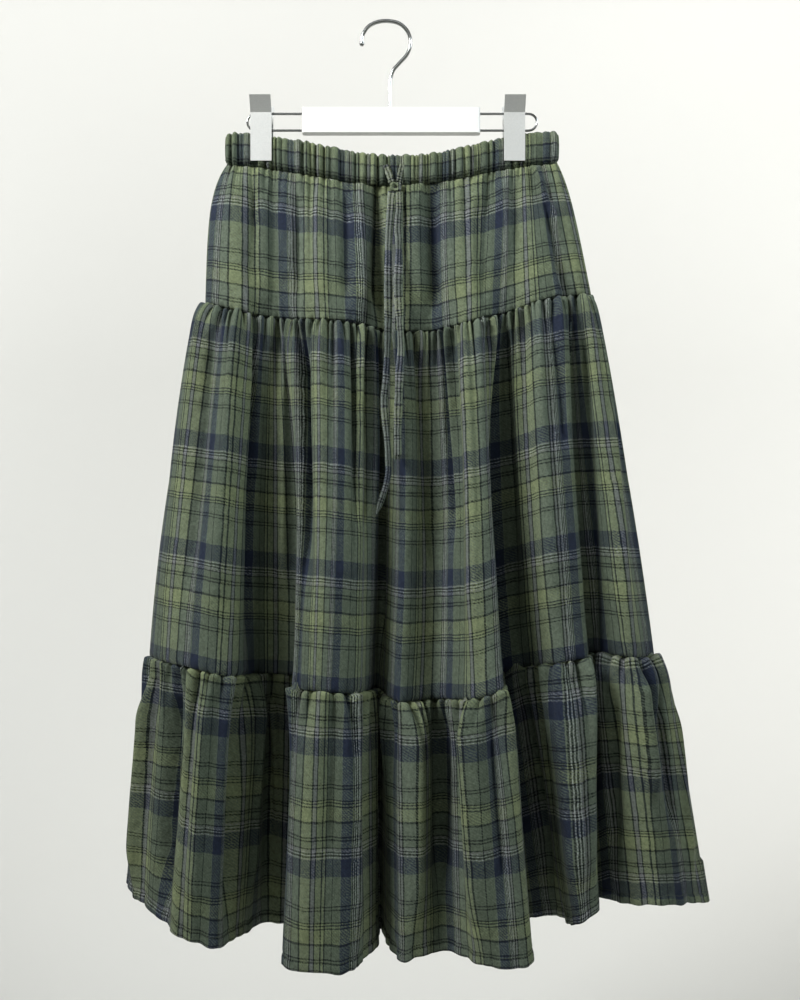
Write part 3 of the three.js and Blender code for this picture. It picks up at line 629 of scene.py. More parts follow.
def fold_edge(tier, t):
    """Place across of every fold line at the top (0) or foot (1) of a strip."""
    k = LEVELS.index(tier["top" if t == 0 else "foot"][0])
    x_front = across(FRONT[:, k], FRONT[:, 5 + k])
    x_back = x_front[0] + (x_front[-1] - x_front[0]) * BACK[:, 0]
    return np.concatenate([x_front, x_back])


def ring(tier, s, t):
    """Points of the smooth closed curves through the fold lines: (t, s, xyz)."""
    lines = fold_lines(tier, t)
    s = np.mod(np.asarray(s, dtype=float), LINE_COUNT)
    i = np.floor(s).astype(int)
    p = [lines[:, (i + k) % LINE_COUNT] for k in (-1, 0, 1, 2)]
    knots = [np.zeros(p[0].shape[:2])]
    for k in range(3):
        knots.append(knots[k] + np.linalg.norm(p[k + 1] - p[k], axis=2) ** 0.5)
    at = knots[1] + (knots[2] - knots[1]) * (s - i)[None, :]

    def mix(m, n, ka, kb):
        return m + (n - m) * ((at - ka) / (kb - ka))[..., None]

    a = [mix(p[k], p[k + 1], knots[k], knots[k + 1]) for k in range(3)]
    b = [mix(a[k], a[k + 1], knots[k], knots[k + 2]) for k in range(2)]
    return mix(b[0], b[1], knots[1], knots[2])


def hang(tier, s, t):
    """Middle surface of a strip, with the stand-off of its gathered cloth."""
    t = np.asarray(t, dtype=float)
    base = ring(tier, s, t)
    ahead, behind = ring(tier, np.asarray(s) + 0.02, t), ring(tier, np.asarray(s) - 0.02, t)
    outward = np.stack([ahead[..., 1] - behind[..., 1], behind[..., 0] - ahead[..., 0]], axis=-1)
    outward /= np.linalg.norm(outward, axis=-1)[..., None]
    lines = fold_lines(tier, t)
    left, right = lines[:, :1, 0], lines[:, FRONT_COUNT - 1 : FRONT_COUNT, 0]
    f = (base[..., 0] - left) / (right - left)
    side = 0.4 + 0.6 * np.abs(2 * f - 1) ** 3
    shape = ((1 - np.exp(-t / tier["rise"])) * np.maximum(0, 1 - t / tier["end"]))[:, None]
    stand = (tier["puff"][0] + (tier["puff"][1] - tier["puff"][0]) * f) * side * shape
    base[..., :2] += outward * stand[..., None]
    return base


def surface_normals(points):
    along = np.gradient(points, axis=1)
    down = np.gradient(points, axis=0)
    normal = np.cross(down, along)
    return normal / np.maximum(np.linalg.norm(normal, axis=-1), 1e-9)[..., None]


# --- Gathers, creases and seams -----------------------------------------------------------
def gather_run(count, seed, uneven=0.5):
    """Uneven little pleats along one seam: their edges (0 to 1), depths and reaches."""
    rng = np.random.default_rng(seed)
    width = rng.uniform(1 - uneven, 1 + uneven, count)
    edges = np.concatenate([[0], np.cumsum(width)]) / width.sum()
    return edges, width / width.mean(), rng.uniform(0.6, 1.35, count), rng.uniform(0.6, 1.7, count)


VALLEY_WIDE = 0.27  # part of a pleat's width
VALLEY_REACH = 1.25  # times as far down as the ridges
RIDGE_SHARE, VALLEY_SHARE = 0.6, 0.75  # of a gather's depth


def gathers(pleats, fraction, down, depth, reach, crisp=25):
    """Height of pleats at places along the seam (0 to 1) and distances down from it, mm.
    Near the seam they are rounded ridges with sharp valleys between them, some of them far
    deeper and longer than others; lower they soften and fade, wide ones last."""
    edges, width, depths, reaches = pleats
    down = np.maximum(down, 0)[:, None]
    # Neighbouring pleats lean the same way.
    lean = 0.13 * np.sin(fraction * 43 + 1) + 0.09 * np.sin(fraction * 109 + 2)
    at = fraction[None, :] + lean[None, :] * down / 1000 * np.exp(-down / 150)
    k = np.clip(np.searchsorted(edges, at, side="right") - 1, 0, len(width) - 1)
    x = np.clip((at - edges[k]) / (edges[k + 1] - edges[k]), 0, 1)
    soften = smoothstep(down / crisp)
    wave = 0.5 - 0.5 * np.cos(2 * math.pi * x)
    round_top = np.sin(math.pi * x) ** 0.8 * (1 - soften) + wave * soften
    size = depths[k] * np.clip(width[k], 0.5, 1.6)
    ridge = round_top * size * np.exp(-((down / (reach * reaches[k] * width[k] ** 1.5)) ** 1.3))
    # Valleys, each with its own depth and reach.
    cut_in = np.append(depths, depths[0])[::-1] ** 1.8
    runs = np.append(reaches, reaches[0])[::-1] ** 1.6
    valley = 0
    for j, away in ((k, x), (k + 1, 1 - x)):
        fading = np.exp(-((down / (VALLEY_REACH * reach * runs[j])) ** 1.5))
        valley = valley + cut_in[j] * np.exp(-((away / VALLEY_WIDE) ** 1.3)) * fading
    # The ridges start at the seam and stand out within a few millimetres.
    held = smoothstep((down + 2.5) / 6)
    return depth * (RIDGE_SHARE * ridge * held - VALLEY_SHARE * valley)


# Creases hung into each strip of the front, narrower than the fold lines. Columns: grid
# steps across and down at its start and at its end, width mm, depth mm (minus is a trough).
FRONT_CREASES = {
    "top": [
        (255, 190, 250, 290, 6, -1.6), (266, 195, 268, 310, 8, 1.4), (300, 190, 296, 300, 6, -1.5),
        (318, 200, 322, 300, 9, 1.5), (347, 186, 347, 305, 6, -3.0), (361, 182, 363, 315, 6, 2.2),
        (376, 176, 378, 315, 6, -4.6), (417, 182, 420, 315, 7, 2.2), (432, 176, 435, 315, 6, -4.2),
        (448, 200, 456, 300, 9, 1.6), (478, 205, 486, 300, 7, -1.8),
        (500, 180, 512, 290, 8, 1.8), (533, 166, 562, 235, 5, 2.4), (545, 190, 566, 300, 6, -2.2),
    ],
    "middle": [
        (211, 330, 186, 600, 8, -2.4), (237, 325, 212, 640, 10, 3.0), (256, 330, 250, 650, 7, -4.5),
        (284, 335, 284, 600, 8, 4.2), (304, 340, 308, 600, 7, -6.0), (330, 340, 326, 680, 12, 2.6),
        (357, 335, 358, 520, 7, -2.6), (379, 340, 381, 640, 6, -4.5), (424, 350, 436, 560, 9, -3.0),
        (441, 335, 452, 540, 4.5, -4.2), (465, 340, 476, 660, 12, 3.2), (507, 330, 512, 640, 7, -4.0),
        (540, 320, 558, 620, 13, 3.0), (557, 340, 566, 450, 5, -2.4), (585, 330, 596, 640, 7, -3.4),
        (603, 320, 628, 640, 10, 2.4),
    ],
    "bottom": [
        (151, 690, 136, 890, 9, 5.0), (170, 700, 160, 900, 9, -8.0), (205, 690, 194, 930, 13, 3.6),
        (240, 700, 228, 920, 9, -3.6), (254, 690, 246, 900, 7, 2.6), (272, 700, 268, 900, 9, -4.5),
        (312, 710, 306, 960, 13, 3.2), (332, 700, 330, 860, 6, -2.2), (358, 700, 358, 950, 7, 1.8),
        (376, 710, 376, 930, 6, -6.0), (413, 720, 414, 930, 11, 3.4), (440, 715, 440, 880, 9, -5.0),
        (470, 710, 482, 940, 12, 3.6), (489, 730, 506, 900, 5, -2.4), (524, 700, 548, 880, 9, -4.2),
        (575, 690, 584, 900, 11, 3.4), (598, 680, 600, 880, 5, -4.0), (616, 690, 616, 860, 8, -2.8),
        (641, 675, 655, 800, 8, 4.0), (658, 680, 674, 830, 5, -3.4), (676, 700, 692, 880, 8, 2.0),
    ],
}


def back_crease_rows(name):
    """As many creases for the back as the front has, uneven in the same way. Columns: part of
    the way along and down at the start and at the end, width mm, depth mm."""
    rng = np.random.default_rng(40 + len(name))
    rows = []
    for k, row in enumerate(FRONT_CREASES[name]):
        place = (k + rng.uniform(0.2, 0.8)) / len(FRONT_CREASES[name])
        rows.append((place, rng.uniform(0.03, 0.12), place + rng.uniform(-0.012, 0.012),
                     rng.uniform(0.6, 0.98), row[4] * rng.uniform(0.9, 1.3), -row[5]))
    return rows


def seen_at(base, grid_across, grid_down):
    """Row and column of the point of a strip that is seen at a place on the measuring grid:
    the foremost of those that lie there."""
    scale = EYE_DISTANCE / (EYE_DISTANCE + base[..., 1]) / GRID_STEP
    eye_grid_across = GRID_ACROSS_AT_ORIGIN + EYE_ACROSS / GRID_STEP
    off_across = (base[..., 0] - EYE_ACROSS) * scale + eye_grid_across - grid_across
    off_down = EYE_GRID_DOWN - (base[..., 2] + EYE_DOWN) * scale - grid_down
    away = off_across**2 + off_down**2
    near = away < away.min() + 12
    front_most = base[..., 1][near].min()
    away[~near | (base[..., 1] > front_most + 7)] = 1e9
    return np.unravel_index(np.argmin(away), away.shape)


def crease_route(base, along, down, row, front):
    """Distance along the strip at each distance down it, and where a crease starts and ends."""
    if not front:
        at = np.array([row[0], row[2]]) * along[-1]
        span = np.array([row[1], row[3]]) * down[-1]
        return np.interp(down, span, at), span[0], span[1]
    found = []
    for f in (0, 0.25, 0.5, 0.75, 1):
        r, c = seen_at(base, row[0] + (row[2] - row[0]) * f, row[1] + (row[3] - row[1]) * f)
        found.append((down[r], along[c]))
    found = np.array(found)
    slope, start = np.polyfit(found[:, 0], found[:, 1], 1)
    away = np.abs(found[:, 1] - start - slope * found[:, 0])
    kept = found[away <= max(np.sort(away)[2], 6)]
    kept = kept[np.argsort(kept[:, 0])]
    return np.interp(down, kept[:, 0], kept[:, 1]), found[:, 0].min(), found[:, 0].max()


def creases(rows, base, along, down, front):
    """Soft troughs and ridges that start and end gently."""
    total = np.zeros((len(down), len(along)))
    for row in rows:
        middle, start, end = crease_route(base, along, down, row, front)
        off = (along[None, :] - middle[:, None]) / row[4]
        long = end - start
        begins = smoothstep((down - start + 0.1 * long) / (0.25 * long))
        ends = smoothstep((end - down + 0.1 * long) / (0.35 * long))
        rise = begins * ends
        total += row[5] * rise[:, None] * np.exp(-(off**2))
    return total


# Where the front's hem hangs higher than its fold lines give. Columns: grid steps across and
# down, mm up.
HEM_LIFTS = [(520, 880, 0), (560, 880, 4), (585, 880, 13), (596, 880, 13), (612, 880, 0)]
# Each seam's fine pleats, front and back: how many in each half.
PLEATS = {
    ("waist", True): gather_run(66, 11, 0.8), ("waist", False): gather_run(60, 12, 0.8),
    ("firstSeam", True): gather_run(52, 13), ("firstSeam", False): gather_run(48, 14),
    ("secondSeam", True): gather_run(62, 15, 0.6), ("secondSeam", False): gather_run(56, 16, 0.6),
}
# The same cloth lower down, where neighbouring pleats have run together.
DEEP_PLEATS = {
    ("waist", True): gather_run(15, 21, 0.6), ("waist", False): gather_run(14, 22, 0.6),
    ("firstSeam", True): gather_run(19, 23, 0.6), ("firstSeam", False): gather_run(17, 24, 0.6),
    ("secondSeam", True): gather_run(24, 25, 0.65), ("secondSeam", False): gather_run(20, 26, 0.65),
}
# How each strip's gathers hang: depth and reach of the fine ones, then of the merged ones.
GATHER_LOOK = {
    "top": (2.3, 16, 5.0, 80),
    "middle": (7.0, 26, 9.0, 120),
    "bottom": (9.0, 30, 12.5, 110),
}
CREASE_DEEP = {"top": 2.5, "middle": 2.5, "bottom": 2.9}
HEM_DEEP = 9.5
CLIPS = ((-133.5, 11.5), (131.0, 11.5))  # place across and half width, mm
CLIP_FACE = 6.7
CLIP_FOOT = -148


def columns_of(tier, front, spacing):
    """Even columns of a half along its foot: fold-line places, and distances along the foot,
    the seam above and the seam below (the last two from 0 to 1)."""
    ends = (0, FRONT_COUNT - 1) if front else (FRONT_COUNT - 1, LINE_COUNT)
    fine = np.linspace(ends[0], ends[1], 2400)
    foot = run_along(ring(tier, fine, [1.0])[0])
    head = run_along(ring(tier, fine, [0.0])[0])
    count = int(round(foot[-1] / spacing)) + 1
    even = np.linspace(0, foot[-1], count)
    s = np.interp(even, foot, fine)
    return s, even, np.interp(s, fine, head) / head[-1], even / foot[-1]


def pressed_by_clips(points):
    """Keeps the cloth between the jaws of the two clips."""
    x, y, z = points[..., 0], points[..., 1], points[..., 2]
    for middle, half in CLIPS:
        near = smoothstep((half + 5 - np.abs(x - middle)) / 5) * smoothstep((z - CLIP_FOOT + 5) / 5)
        limit = CLIP_FACE + (1 - near) * 40
        y[...] = np.clip(y, -limit, limit)
    return points


FINE_REACH = 60  # over which the rows grow wider below a strip's upper seam, mm
FINE_TAIL, TAIL_STEP = 14, 1.6  # the close rows at its foot, mm


def tier_rows(cut, fine, coarse):
    """Distances down a strip, close together at both seams and wider between them."""
    rows, at = [], 0.0
    while at < cut - FINE_TAIL:
        rows.append(at)
        at += fine + (coarse - fine) * smoothstep(at / FINE_REACH)
    tail = np.linspace(at, cut, int((cut - at) / TAIL_STEP) + 2)
    return np.concatenate([rows, tail])


# Where the stripes' repeats start on each strip: mm along from the half's left end to the
# left edge of a navy stripe, and mm down from the seam to the sharp edge of a navy band.
PLAID_START = {
    ("band", True): (20, 64), ("band", False): (50, 64),
    ("top", True): (4, 60), ("top", False): (30, 60),
    ("middle", True): (60, 20.5), ("middle", False): (15, 20.5),
    ("bottom", True): (14, 58), ("bottom", False): (44, 58),
}
# The gathers take up more cloth in some places than in others. Where navy stripes are seen
# at the front, in grid steps across and down.
NAVY_SEEN = {
    "top": [(212, 220), (283.5, 220), (348, 220), (437, 220), (498, 220)],
    "middle": [(207, 480), (255, 480), (303, 480), (340, 480), (402, 480), (448, 480),
               (497, 480), (568, 480), (588, 480)],
    "bottom": [(220, 800), (287, 800), (346, 800), (393, 800), (495, 800), (564, 800),
               (602, 800), (668, 800)],
}
# The bottom strip's bands step up at its side seams. Columns: grid steps across and down,
# mm down from where the other bands lie.
BAND_STEPS = {"bottom": [
    (150, 800, -12), (170, 800, -12), (184, 800, 0), (480, 800, 1), (560, 800, -6),
    (592, 800, -6), (606, 800, -31), (680, 800, -31),
]}


# Drawn in at seams, mm: depth and width of the groove at a head, a foot and a side seam.
HEAD_SEAM = (1.6, 1.3)
FOOT_SEAM = (1.6, 2.2)
SIDE_SEAM = (1.3, 1.8)
# Cloth turned in at a seam or the hem, as part of the length a strip was cut to, mm.
# How far the turned-in edges are modelled, mm: behind and above a head, behind a foot, and
# behind the hem, over so many rows.
HEAD_BEHIND, HEAD_ABOVE, FOOT_BEHIND = 2.4, 6.5, 5
HEM_BEHIND, HEM_ROWS = 1.1, 8
SIDE_FADE = 12  # over which the relief grows from a side seam, mm
HEM_SWAY_REACH = 70  # how far up the strip the hem's rise and drop is felt, mm
HEM_STEP_FROM = (316, -876)  # the step at the right side seam: across and up, mm


def groove(away, seam):
    deep, wide = seam
    return deep * np.exp(-((away / wide) ** 2))


def plaid_place(name, along, down, front, base=None):
    """Place of each point in the stripes' repeats. The middle tier is cut upside down."""
    warp_start, weft_start = PLAID_START[(name, front)]
    turn = -1 if name == "middle" else 1
    repeats = (along - warp_start) / WARP_REPEAT
    step = np.zeros_like(along)
    if front and name in NAVY_SEEN:
        seen = np.array([along[seen_at(base, *place)[1]] for place in NAVY_SEEN[name]])
        count = np.concatenate([[0], np.cumsum(np.maximum(1, np.round(np.diff(seen) / WARP_REPEAT)))])
        ends = np.array([-2, 2]) * WARP_REPEAT
        seen = np.concatenate([[seen[0] + ends[0]], seen, [seen[-1] + ends[1]]])
        count = np.concatenate([[-2], count, [count[-1] + 2]])
        repeats = np.interp(along, seen, count) + turn * WARP_STRIPES[1][0] / 2 / WARP_REPEAT
    if front and name in BAND_STEPS:
        at = [along[seen_at(base, *row[:2])[1]] for row in BAND_STEPS[name]]
        step = np.interp(along, at, [row[2] for row in BAND_STEPS[name]])
    wide, long = np.meshgrid(turn * repeats, down)
    return np.stack([wide, -turn * (long - weft_start - step[None, :]) / WEFT_REPEAT], axis=-1)


def cloth_strip(name, front, spacing, fine_row, coarse_row):
    """One gathered strip between two side seams, its edges turned in at the seams."""
    tier = TIERS[name]
    cut = tier["cut"]
    s, along, on_head, on_foot = columns_of(tier, front, spacing)
    down = tier_rows(cut, fine_row, coarse_row)
    t = down / cut
    base = hang(tier, s, t)
    normal = surface_normals(base)
    wide = along[-1]
    head_level, foot_level = tier["top"][0], tier["foot"][0]
    depth, reach, deep, deep_reach = GATHER_LOOK[name]
    relief = gathers(PLEATS[(head_level, front)], on_head, down, depth, reach)
    swell = (1 - np.exp(-down / 14))[:, None]
    merged = DEEP_PLEATS[(head_level, front)]
    relief += swell * gathers(merged, on_head, down, deep, deep_reach, crisp=8)
    crease_rows = FRONT_CREASES[name] if front else back_crease_rows(name)
    relief += CREASE_DEEP[name] * creases(crease_rows, base, along, down, front)
    # Unevenness: height and seed, then grain and stretch, mm.
    for high, seed, grain, stretch in ((0.55, 60, 46, 2.2), (0.16, 70, 13, 1.6)):
        seed += len(name) + front
        relief += high * soft_noise(along[None, :], down[:, None], seed, grain, stretch)
    if foot_level != "hem":
        pull = np.exp(-((cut - down) / 7))
        at_foot = gathers(PLEATS[(foot_level, front)], on_foot, np.full(1, 6.0), 1.8, 60)
        relief += pull[:, None] * at_foot
        relief -= groove(cut - down, FOOT_SEAM)[:, None]
    else:
        up = cut - down
        hem_run = gather_run(70 if front else 60, 31 + front, 0.6)
        hem_waves = gathers(hem_run, on_foot, np.full(1, 12.0), 1.0, 60)
        relief += 2.0 * np.exp(-((up - 4) / 9) ** 2)[:, None] * hem_waves
        relief -= 0.7 * np.exp(-(((up - HEM_DEEP) / 1.1) ** 2))[:, None]
        relief += 0.35 * smoothstep((HEM_DEEP - up) / 2)[:, None]
    # Seams draw the cloth in: the upper edge, and the side seams.
    relief -= groove(down, HEAD_SEAM)[:, None]
    edge = np.minimum(along, wide - along)
    fade = smoothstep(edge / SIDE_FADE)[None, :]
    relief = relief * fade - groove(edge, SIDE_SEAM)[None, :]
    points = base + normal * relief[..., None]
    # Between the seam's valleys the pleats bulge up a little over the seam line.
    if name != "top":
        points[..., 2] += (0.22 * relief + 0.5) * fade * np.exp(-down / 5)[:, None]
    if foot_level == "hem":
        # The hem's lower edge rises and drops where the folds pull at it.
        drop = 2.6 * soft_noise(along, 0, 81 + front, 44) + 1.6 * soft_noise(along, 0, 83 + front, 15)
        if front:
            at = [along[seen_at(base, *row[:2])[1]] for row in HEM_LIFTS]
            drop = drop + np.interp(along, at, [row[2] for row in HEM_LIFTS])
        felt = smoothstep((down - cut + HEM_SWAY_REACH) / HEM_SWAY_REACH)
        points[..., 2] += (drop * fade[0])[None, :] * felt[:, None]
        # A short step outward where the hem is folded double at the right side seam.
        beside = (points[..., 0] - HEM_STEP_FROM[0]) / 8
        below = (HEM_STEP_FROM[1] - points[..., 2]) / 4
        points[..., 0] += 2.6 * smoothstep(beside) * smoothstep(below)
    if name == "top":
        points = pressed_by_clips(points)
    place = plaid_place(name, along, down, front, base)
    # Turned-in edges: at the upper seam behind the strip above, at the foot behind the next
    # strip, or as the folded hem.
    inward = -normal
    extra_head = points[:1] + inward[:1] * HEAD_BEHIND + np.array([0, 0, HEAD_ABOVE])
    rows = [extra_head, points]
    places = [place[:1], place]
    if foot_level != "hem":
        rows.append(points[-1:] + inward[-1:] * FOOT_BEHIND + np.array([0, 0, -0.6]))
        places.append(place[-1:])
    else:
        fold = slice(1, 1 + HEM_ROWS)
        rows.append(points[-1:] + inward[-1:] * 0.5 + np.array([0, 0, -0.5]))
        places.append(place[-1:])
        rows.append(points[::-1][fold] + inward[::-1][fold] * HEM_BEHIND)
        places.append(place[::-1][fold])
    grid = np.concatenate(rows)
    spots = np.concatenate(places)
    faces = grid_faces(*grid.shape[:2])
    half = "front" if front else "back"
    made = piece(f"{name}_tier_{half}_cloth", grid.reshape(-1, 3), faces, PLAID,
                 spots.reshape(-1, 2))
    parts = ("",) if name == "top" else ("_left", "_centre", "_right")
    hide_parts(*[f"{name}_tier_{half}{part}" for part in parts])
    return points, normal, down


INSIDE_ROWS, OUTSIDE_ROWS = 15, 19


def casing(front, spacing):
    """The waistband: one strip folded over at the top and stitched down, gathered all round
    by the string inside it. Its rows go up the inside, over the fold and down the outside."""
    tier = TIERS["band"]
    s, along, on_head, _ = columns_of(tier, front, spacing)
    part = np.concatenate([
        np.linspace(1, 0.06, INSIDE_ROWS), [0.02], np.linspace(0.06, 1, OUTSIDE_ROWS)])
    side = np.concatenate([-np.ones(INSIDE_ROWS), [0], np.ones(OUTSIDE_ROWS)])
    base = hang(tier, s, part)
    flat_base = hang(tier, s, np.linspace(0, 1, 5))
    normal = np.repeat(surface_normals(flat_base)[2:3], len(part), axis=0)
    normal[..., 2] = 0
    normal /= np.linalg.norm(normal, axis=-1)[..., None]
    cut = tier["cut"]
    bulge = 0.6 + 2.5 * np.sin(math.pi * np.clip(part * 0.94 + 0.03, 0, 1)) ** 0.6
    pleats = PLEATS[("waist", front)]
    ripples = gathers(pleats, on_head, np.full(1, 5.0), 3.9, 60, crisp=60)[0]
    # Gathers cross the band unevenly: some stop short and each leans its own way.
    weave = soft_noise(along[None, :], (part * cut)[:, None], 91 + front, 16, 3.0)
    full = 0.75 + 1.1 * soft_noise(along, 0, 95 + front, 60)
    strength = np.clip(full, 0.35, 1.3)[None, :] + 0.4 * weave
    relief = (side * bulge)[:, None] + ripples[None, :] * strength + 0.5 * weave
    relief -= (side > 0)[:, None] * 1.7 * np.exp(-(((1 - part) * cut / 1.8) ** 2))[:, None]
    edge = np.minimum(along, along[-1] - along)
    fade = smoothstep(edge / 8)[None, :]
    relief = relief * (0.35 + 0.65 * fade)
    points = base + normal * relief[..., None]
    scallop = (ripples * 0.14)[None, :] * np.exp(-((part * cut / 7) ** 2))[:, None]
    points[..., 2] += scallop
    # Its ends are drawn in at the side seams, so the corners are round.
    corner = np.exp(-((edge / 5) ** 2))[None, :]
    points[..., 2] += corner * (2.5 * part[:, None] ** 3 - 3.5 * (1 - part[:, None]) ** 3)
    points = pressed_by_clips(points)
    last = points[-1:] - normal[-1:] * 2.2 + np.array([0, 0, -0.6])
    grid = np.concatenate([points, last])
    down = np.concatenate([
        -part[:INSIDE_ROWS] * cut, [0], part[INSIDE_ROWS + 1 :] * cut, [cut]])
    place = plaid_place("band", 1.35 * along, down, front)
    half = "front" if front else "back"
    made = piece(f"waistband_{half}_casing", grid.reshape(-1, 3), grid_faces(*grid.shape[:2]), PLAID,
                 place.reshape(-1, 2))
    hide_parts(f"waistband_{half}")
    return points, normal


def stitch_row(name, path, outward, pitch, long, thick, material, lift=0.1):
    """A run of machine stitches: short spun threads that dip into the cloth at both ends."""
    run = run_along(path)
    count = int(run[-1] // pitch)
    points, faces = [], []
    for k in range(count):
        at = np.array([k * pitch + f * long for f in (0, 0.25, 0.5, 0.75, 1)])
        line = np.stack([np.interp(at, run, path[:, j]) for j in range(3)], axis=1)
        out = np.array([np.interp(at[2], run, outward[:, j]) for j in range(3)])
        out /= np.linalg.norm(out)
        along = line[-1] - line[0]
        along /= np.linalg.norm(along)
        side = np.cross(along, out)
        rise = np.array([-0.15, 0.18, 0.3, 0.18, -0.15]) + lift
        size = np.array([0.6, 1, 1, 1, 0.6]) * thick / 2
        base = len(points)
        for row, up, r in zip(line, rise, size):
            for a in range(4):
                turn = a * math.pi / 2
                points.append(row + out * (up + math.sin(turn) * r) + side * math.cos(turn) * r)
        faces += [[base + int(f) for f in face] for face in grid_faces(5, 4, around=True)]
    return piece(name, points, faces, material)


# Steps of each strip's mesh, mm: along it in front and behind, then down it, near its upper
# seam and lower.
STEPS = {
    "band": (1.1, 1.4), "top": (0.9, 1.4, 1.3, 3.2), "middle": (1.0, 1.5, 1.3, 5.5),
    "bottom": (1.2, 1.8, 1.3, 4.6),
}
for front in (True, False):
    half = "front" if front else "back"
    step = {name: row[0 if front else 1] for name, row in STEPS.items()}
    band_points, band_normal = casing(front, step["band"])
    stitch_row(f"casing_stitches_{half}", band_points[-3], band_normal[-3], 2.8, 2.1, 0.55,
               SEWING_THREAD)
    strips = {name: cloth_strip(name, front, step[name], *STEPS[name][2:])
              for name in ("top", "middle", "bottom")}
    top_points = strips["top"][0]
    hem_points, hem_normal, hem_down = strips["bottom"]
    stitch_at = int(np.argmin(np.abs(hem_down - (TIERS["bottom"]["cut"] - HEM_DEEP))))
    stitch_row(f"hem_stitches_{half}", hem_points[stitch_at], hem_normal[stitch_at], 3.0, 2.3,
               0.5, SEWING_THREAD, lift=0.25)

    if front:
        # A wisp of white thread caught in the brushed cloth under the casing.
        row, column = seen_at(top_points, 331, 178)
        caught = top_points[row, column] - np.array([0, 0.8, 0])
        curl = caught + np.array([
            (-3, 0, 1.6), (-1, -0.5, 0.4), (0.4, -0.7, -0.8), (2.4, -0.3, -0.2), (3.2, 0, 1.4)])
        swept_wire("white_wisp_of_thread", smooth_path(curl, 24), 0.9, LOOSE_THREAD,
                   sides=6)


# --- Hanger -------------------------------------------------------------------------------
HOOK_WIRE = 4.0
LOOP_WIRE = 2.5
HOOK_ROUTE = [
    (-28.5, -21), (-27.6, -13), (-21.5, -3.6), (-11.5, 1.2), (0, 2), (11.5, -1), (19.8, -9.5),
    (22.6, -21), (19.2, -32.5), (11.5, -41.5), (5, -49), (2, -57), (1, -66), (1, -78), (1, -89.7),
]
LOOP_TOP, LOOP_BOTTOM = -95.5, -113.0
BAR_LEFT, BAR_RIGHT, SEAM_GAP = -91, 95.5, 0.35
SPRING_RADIUS, SPRING_LONG, SPRING_WIRE = 6.6, 12, 1.4


def hook():
    path = smooth_path([(x, 0, z) for x, z in HOOK_ROUTE], 150)
    made = swept_wire("hook_bent_wire", path, HOOK_WIRE, CHROMED_WIRE)
    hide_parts("hanger_hook")
    # The little ball on the wire's tip.
    rows, sides = 14, 24
    turn = np.linspace(0.06, math.pi - 0.06, rows)
    angle = round_angles(sides)
    ball = np.stack([np.sin(turn)[:, None] * np.cos(angle), np.sin(turn)[:, None] * np.sin(angle),
                     np.broadcast_to(np.cos(turn)[:, None], (rows, sides))], axis=-1) * HOOK_WIRE * 0.66
    ball += np.array([HOOK_ROUTE[0][0], 0, HOOK_ROUTE[0][1] - 0.8])
    faces = [list(f) for f in grid_faces(rows, sides, around=True)]
    faces += [list(range(sides))[::-1], list(range((rows - 1) * sides, rows * sides))]
    tip = piece("hook_tip_ball", ball.reshape(-1, 3), faces, CHROMED_WIRE)
    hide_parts("hanger_hook")


def wire_loop(name, root, tip, node):
    sign = math.copysign(1, tip)
    bend = (LOOP_TOP - LOOP_BOTTOM) / 2
    middle = (LOOP_TOP + LOOP_BOTTOM) / 2
    turn = tip - sign * (bend + LOOP_WIRE / 2)
    points = [(root, 0, LOOP_TOP), ((root + turn) / 2, 0, LOOP_TOP)]
    for k in range(9):
        angle = math.pi / 2 - math.pi * k / 8
        points.append((turn + sign * math.cos(angle) * bend, 0, middle + math.sin(angle) * bend))
    points += [((root + turn) / 2, 0, LOOP_BOTTOM), (root, 0, LOOP_BOTTOM)]
    made = swept_wire(name, smooth_path(points, 90), LOOP_WIRE, CHROMED_WIRE)
    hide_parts(node)


def coiled_spring(name, middle, node):
    """Torsion spring on the loop's wires: close coils."""
    turns = SPRING_LONG / SPRING_WIRE - 1
    at = np.linspace(0, 1, int(turns * 20))
    angle = at * turns * 2 * math.pi
    radius = SPRING_RADIUS - SPRING_WIRE / 2
    z = (LOOP_TOP + LOOP_BOTTOM) / 2
    x = middle + (at - 0.5) * (SPRING_LONG - SPRING_WIRE)
    path = np.stack([x, np.cos(angle) * radius, z + np.sin(angle) * radius], axis=1)
    made = swept_wire(name, path, SPRING_WIRE, SPRAYED_STEEL, sides=10)
    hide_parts(node)


hook()
wire_loop("left_wire_loop", BAR_LEFT - SEAM_GAP, -150, "hanger_wire_left")
wire_loop("right_wire_loop", BAR_RIGHT + SEAM_GAP, 156.5, "hanger_wire_right")
coiled_spring("left_clip_coiled_spring", CLIPS[0][0], "clip_left_spring")
coiled_spring("right_clip_coiled_spring", CLIPS[1][0], "clip_right_spring")
PLATES = [f"clip_{side}_{face}_plate" for side in ("left", "right") for face in ("front", "rear")]
for node, material in [("hanger_bar", LACQUERED_BAR)] + [(plate, SPRAYED_STEEL) for plate in PLATES]:
    for slot in bpy.data.objects[node].material_slots:
        slot.material = material


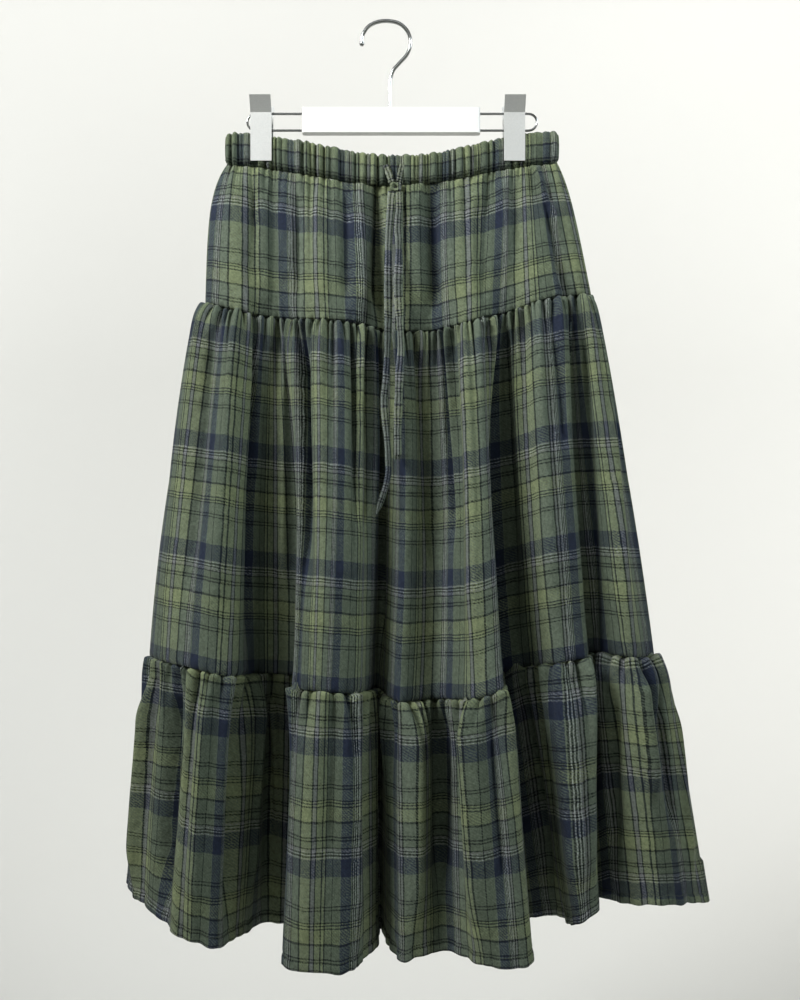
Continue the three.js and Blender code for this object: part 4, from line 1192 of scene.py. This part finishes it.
# --- Studio -------------------------------------------------------------------------------
def studio_sweep():
    """A pale round floor that curves up into a wall on all sides."""
    floor, inner, bend, top, sides = -1350, 1500, 1300, 2600, 96
    turn = np.linspace(0, math.pi / 2, 24)
    radius = np.concatenate([[1, 400, 900], inner + np.sin(turn) * bend, [inner + bend] * 2])
    height = np.concatenate([[floor] * 3, floor + (1 - np.cos(turn)) * bend, [floor + bend + 900, top]])
    angle = round_angles(sides)
    points = np.stack([radius[:, None] * np.cos(angle), radius[:, None] * np.sin(angle),
                       np.broadcast_to(height[:, None], (len(radius), sides))], axis=-1)
    piece("studio_floor", points.reshape(-1, 3), grid_faces(len(radius), sides, around=True),
          painted_studio("matt_white_paint", "#c8c8c4"), stage=True)


def soft_light(name, place, aim, size, power, spread, tint):
    lamp = bpy.data.lights.new(name, "AREA")
    lamp.shape = "RECTANGLE"
    lamp.size, lamp.size_y = size
    lamp.energy = power
    lamp.color = linear(tint)[:3]
    lamp.spread = math.radians(spread)
    made = bpy.data.objects.new(name, lamp)
    made.location = place
    way = np.array(aim) - np.array(place)
    tip = math.acos(-way[2] / np.linalg.norm(way))
    made.rotation_euler = (tip, 0, math.atan2(way[1], way[0]) - math.pi / 2)
    made.visible_camera = False
    WORLD.objects.link(made)


# Columns: place and aim, m, width and height, m, watts, spread in degrees, and tint.
LIGHTS = {
    "left_softbox": ((-1.58, -1.12, 1.1), (0, 0, 0.15), (1.0, 0.8), 23.6, 85, "#ffffff"),
    "centre_softbox": ((-0.2, -2.0, 1.1), (0, 0, -0.1), (1.3, 0.8), 1.2, 100, "#ffffff"),
    "right_softbox": ((1.95, -0.9, 0.8), (0, 0, -0.05), (1.2, 0.8), 8.0, 75, "#e6eff5"),
    "overhead_softbox": ((0, -1.1, 2.1), (0, 0, -0.1), (2.4, 1.2), 7, 180, "#e4eff4"),
    "backdrop_light": ((0, 1.3, 1.9), (0, 2.9, 0.3), (3.0, 0.7), 46, 180, "#ffffff"),
    "backdrop_left_light": ((-1.7, 0.9, 0.3), (-0.6, 2.8, 0.1), (1.0, 1.0), 20, 180, "#ffffff"),
    "backdrop_right_light": ((1.7, 0.9, 0.3), (0.6, 2.8, 0.1), (1.0, 1.0), 17, 180, "#ffffff"),
}
studio_sweep()
for name, row in LIGHTS.items():
    soft_light(name, *row)
world = bpy.data.worlds.new("studio_world")
world.use_nodes = True
world.node_tree.nodes["Background"].inputs["Color"].default_value = linear("#ffffff")
world.node_tree.nodes["Background"].inputs["Strength"].default_value = 0.02
bpy.context.scene.world = world
bpy.context.scene.view_settings.view_transform = "Standard"
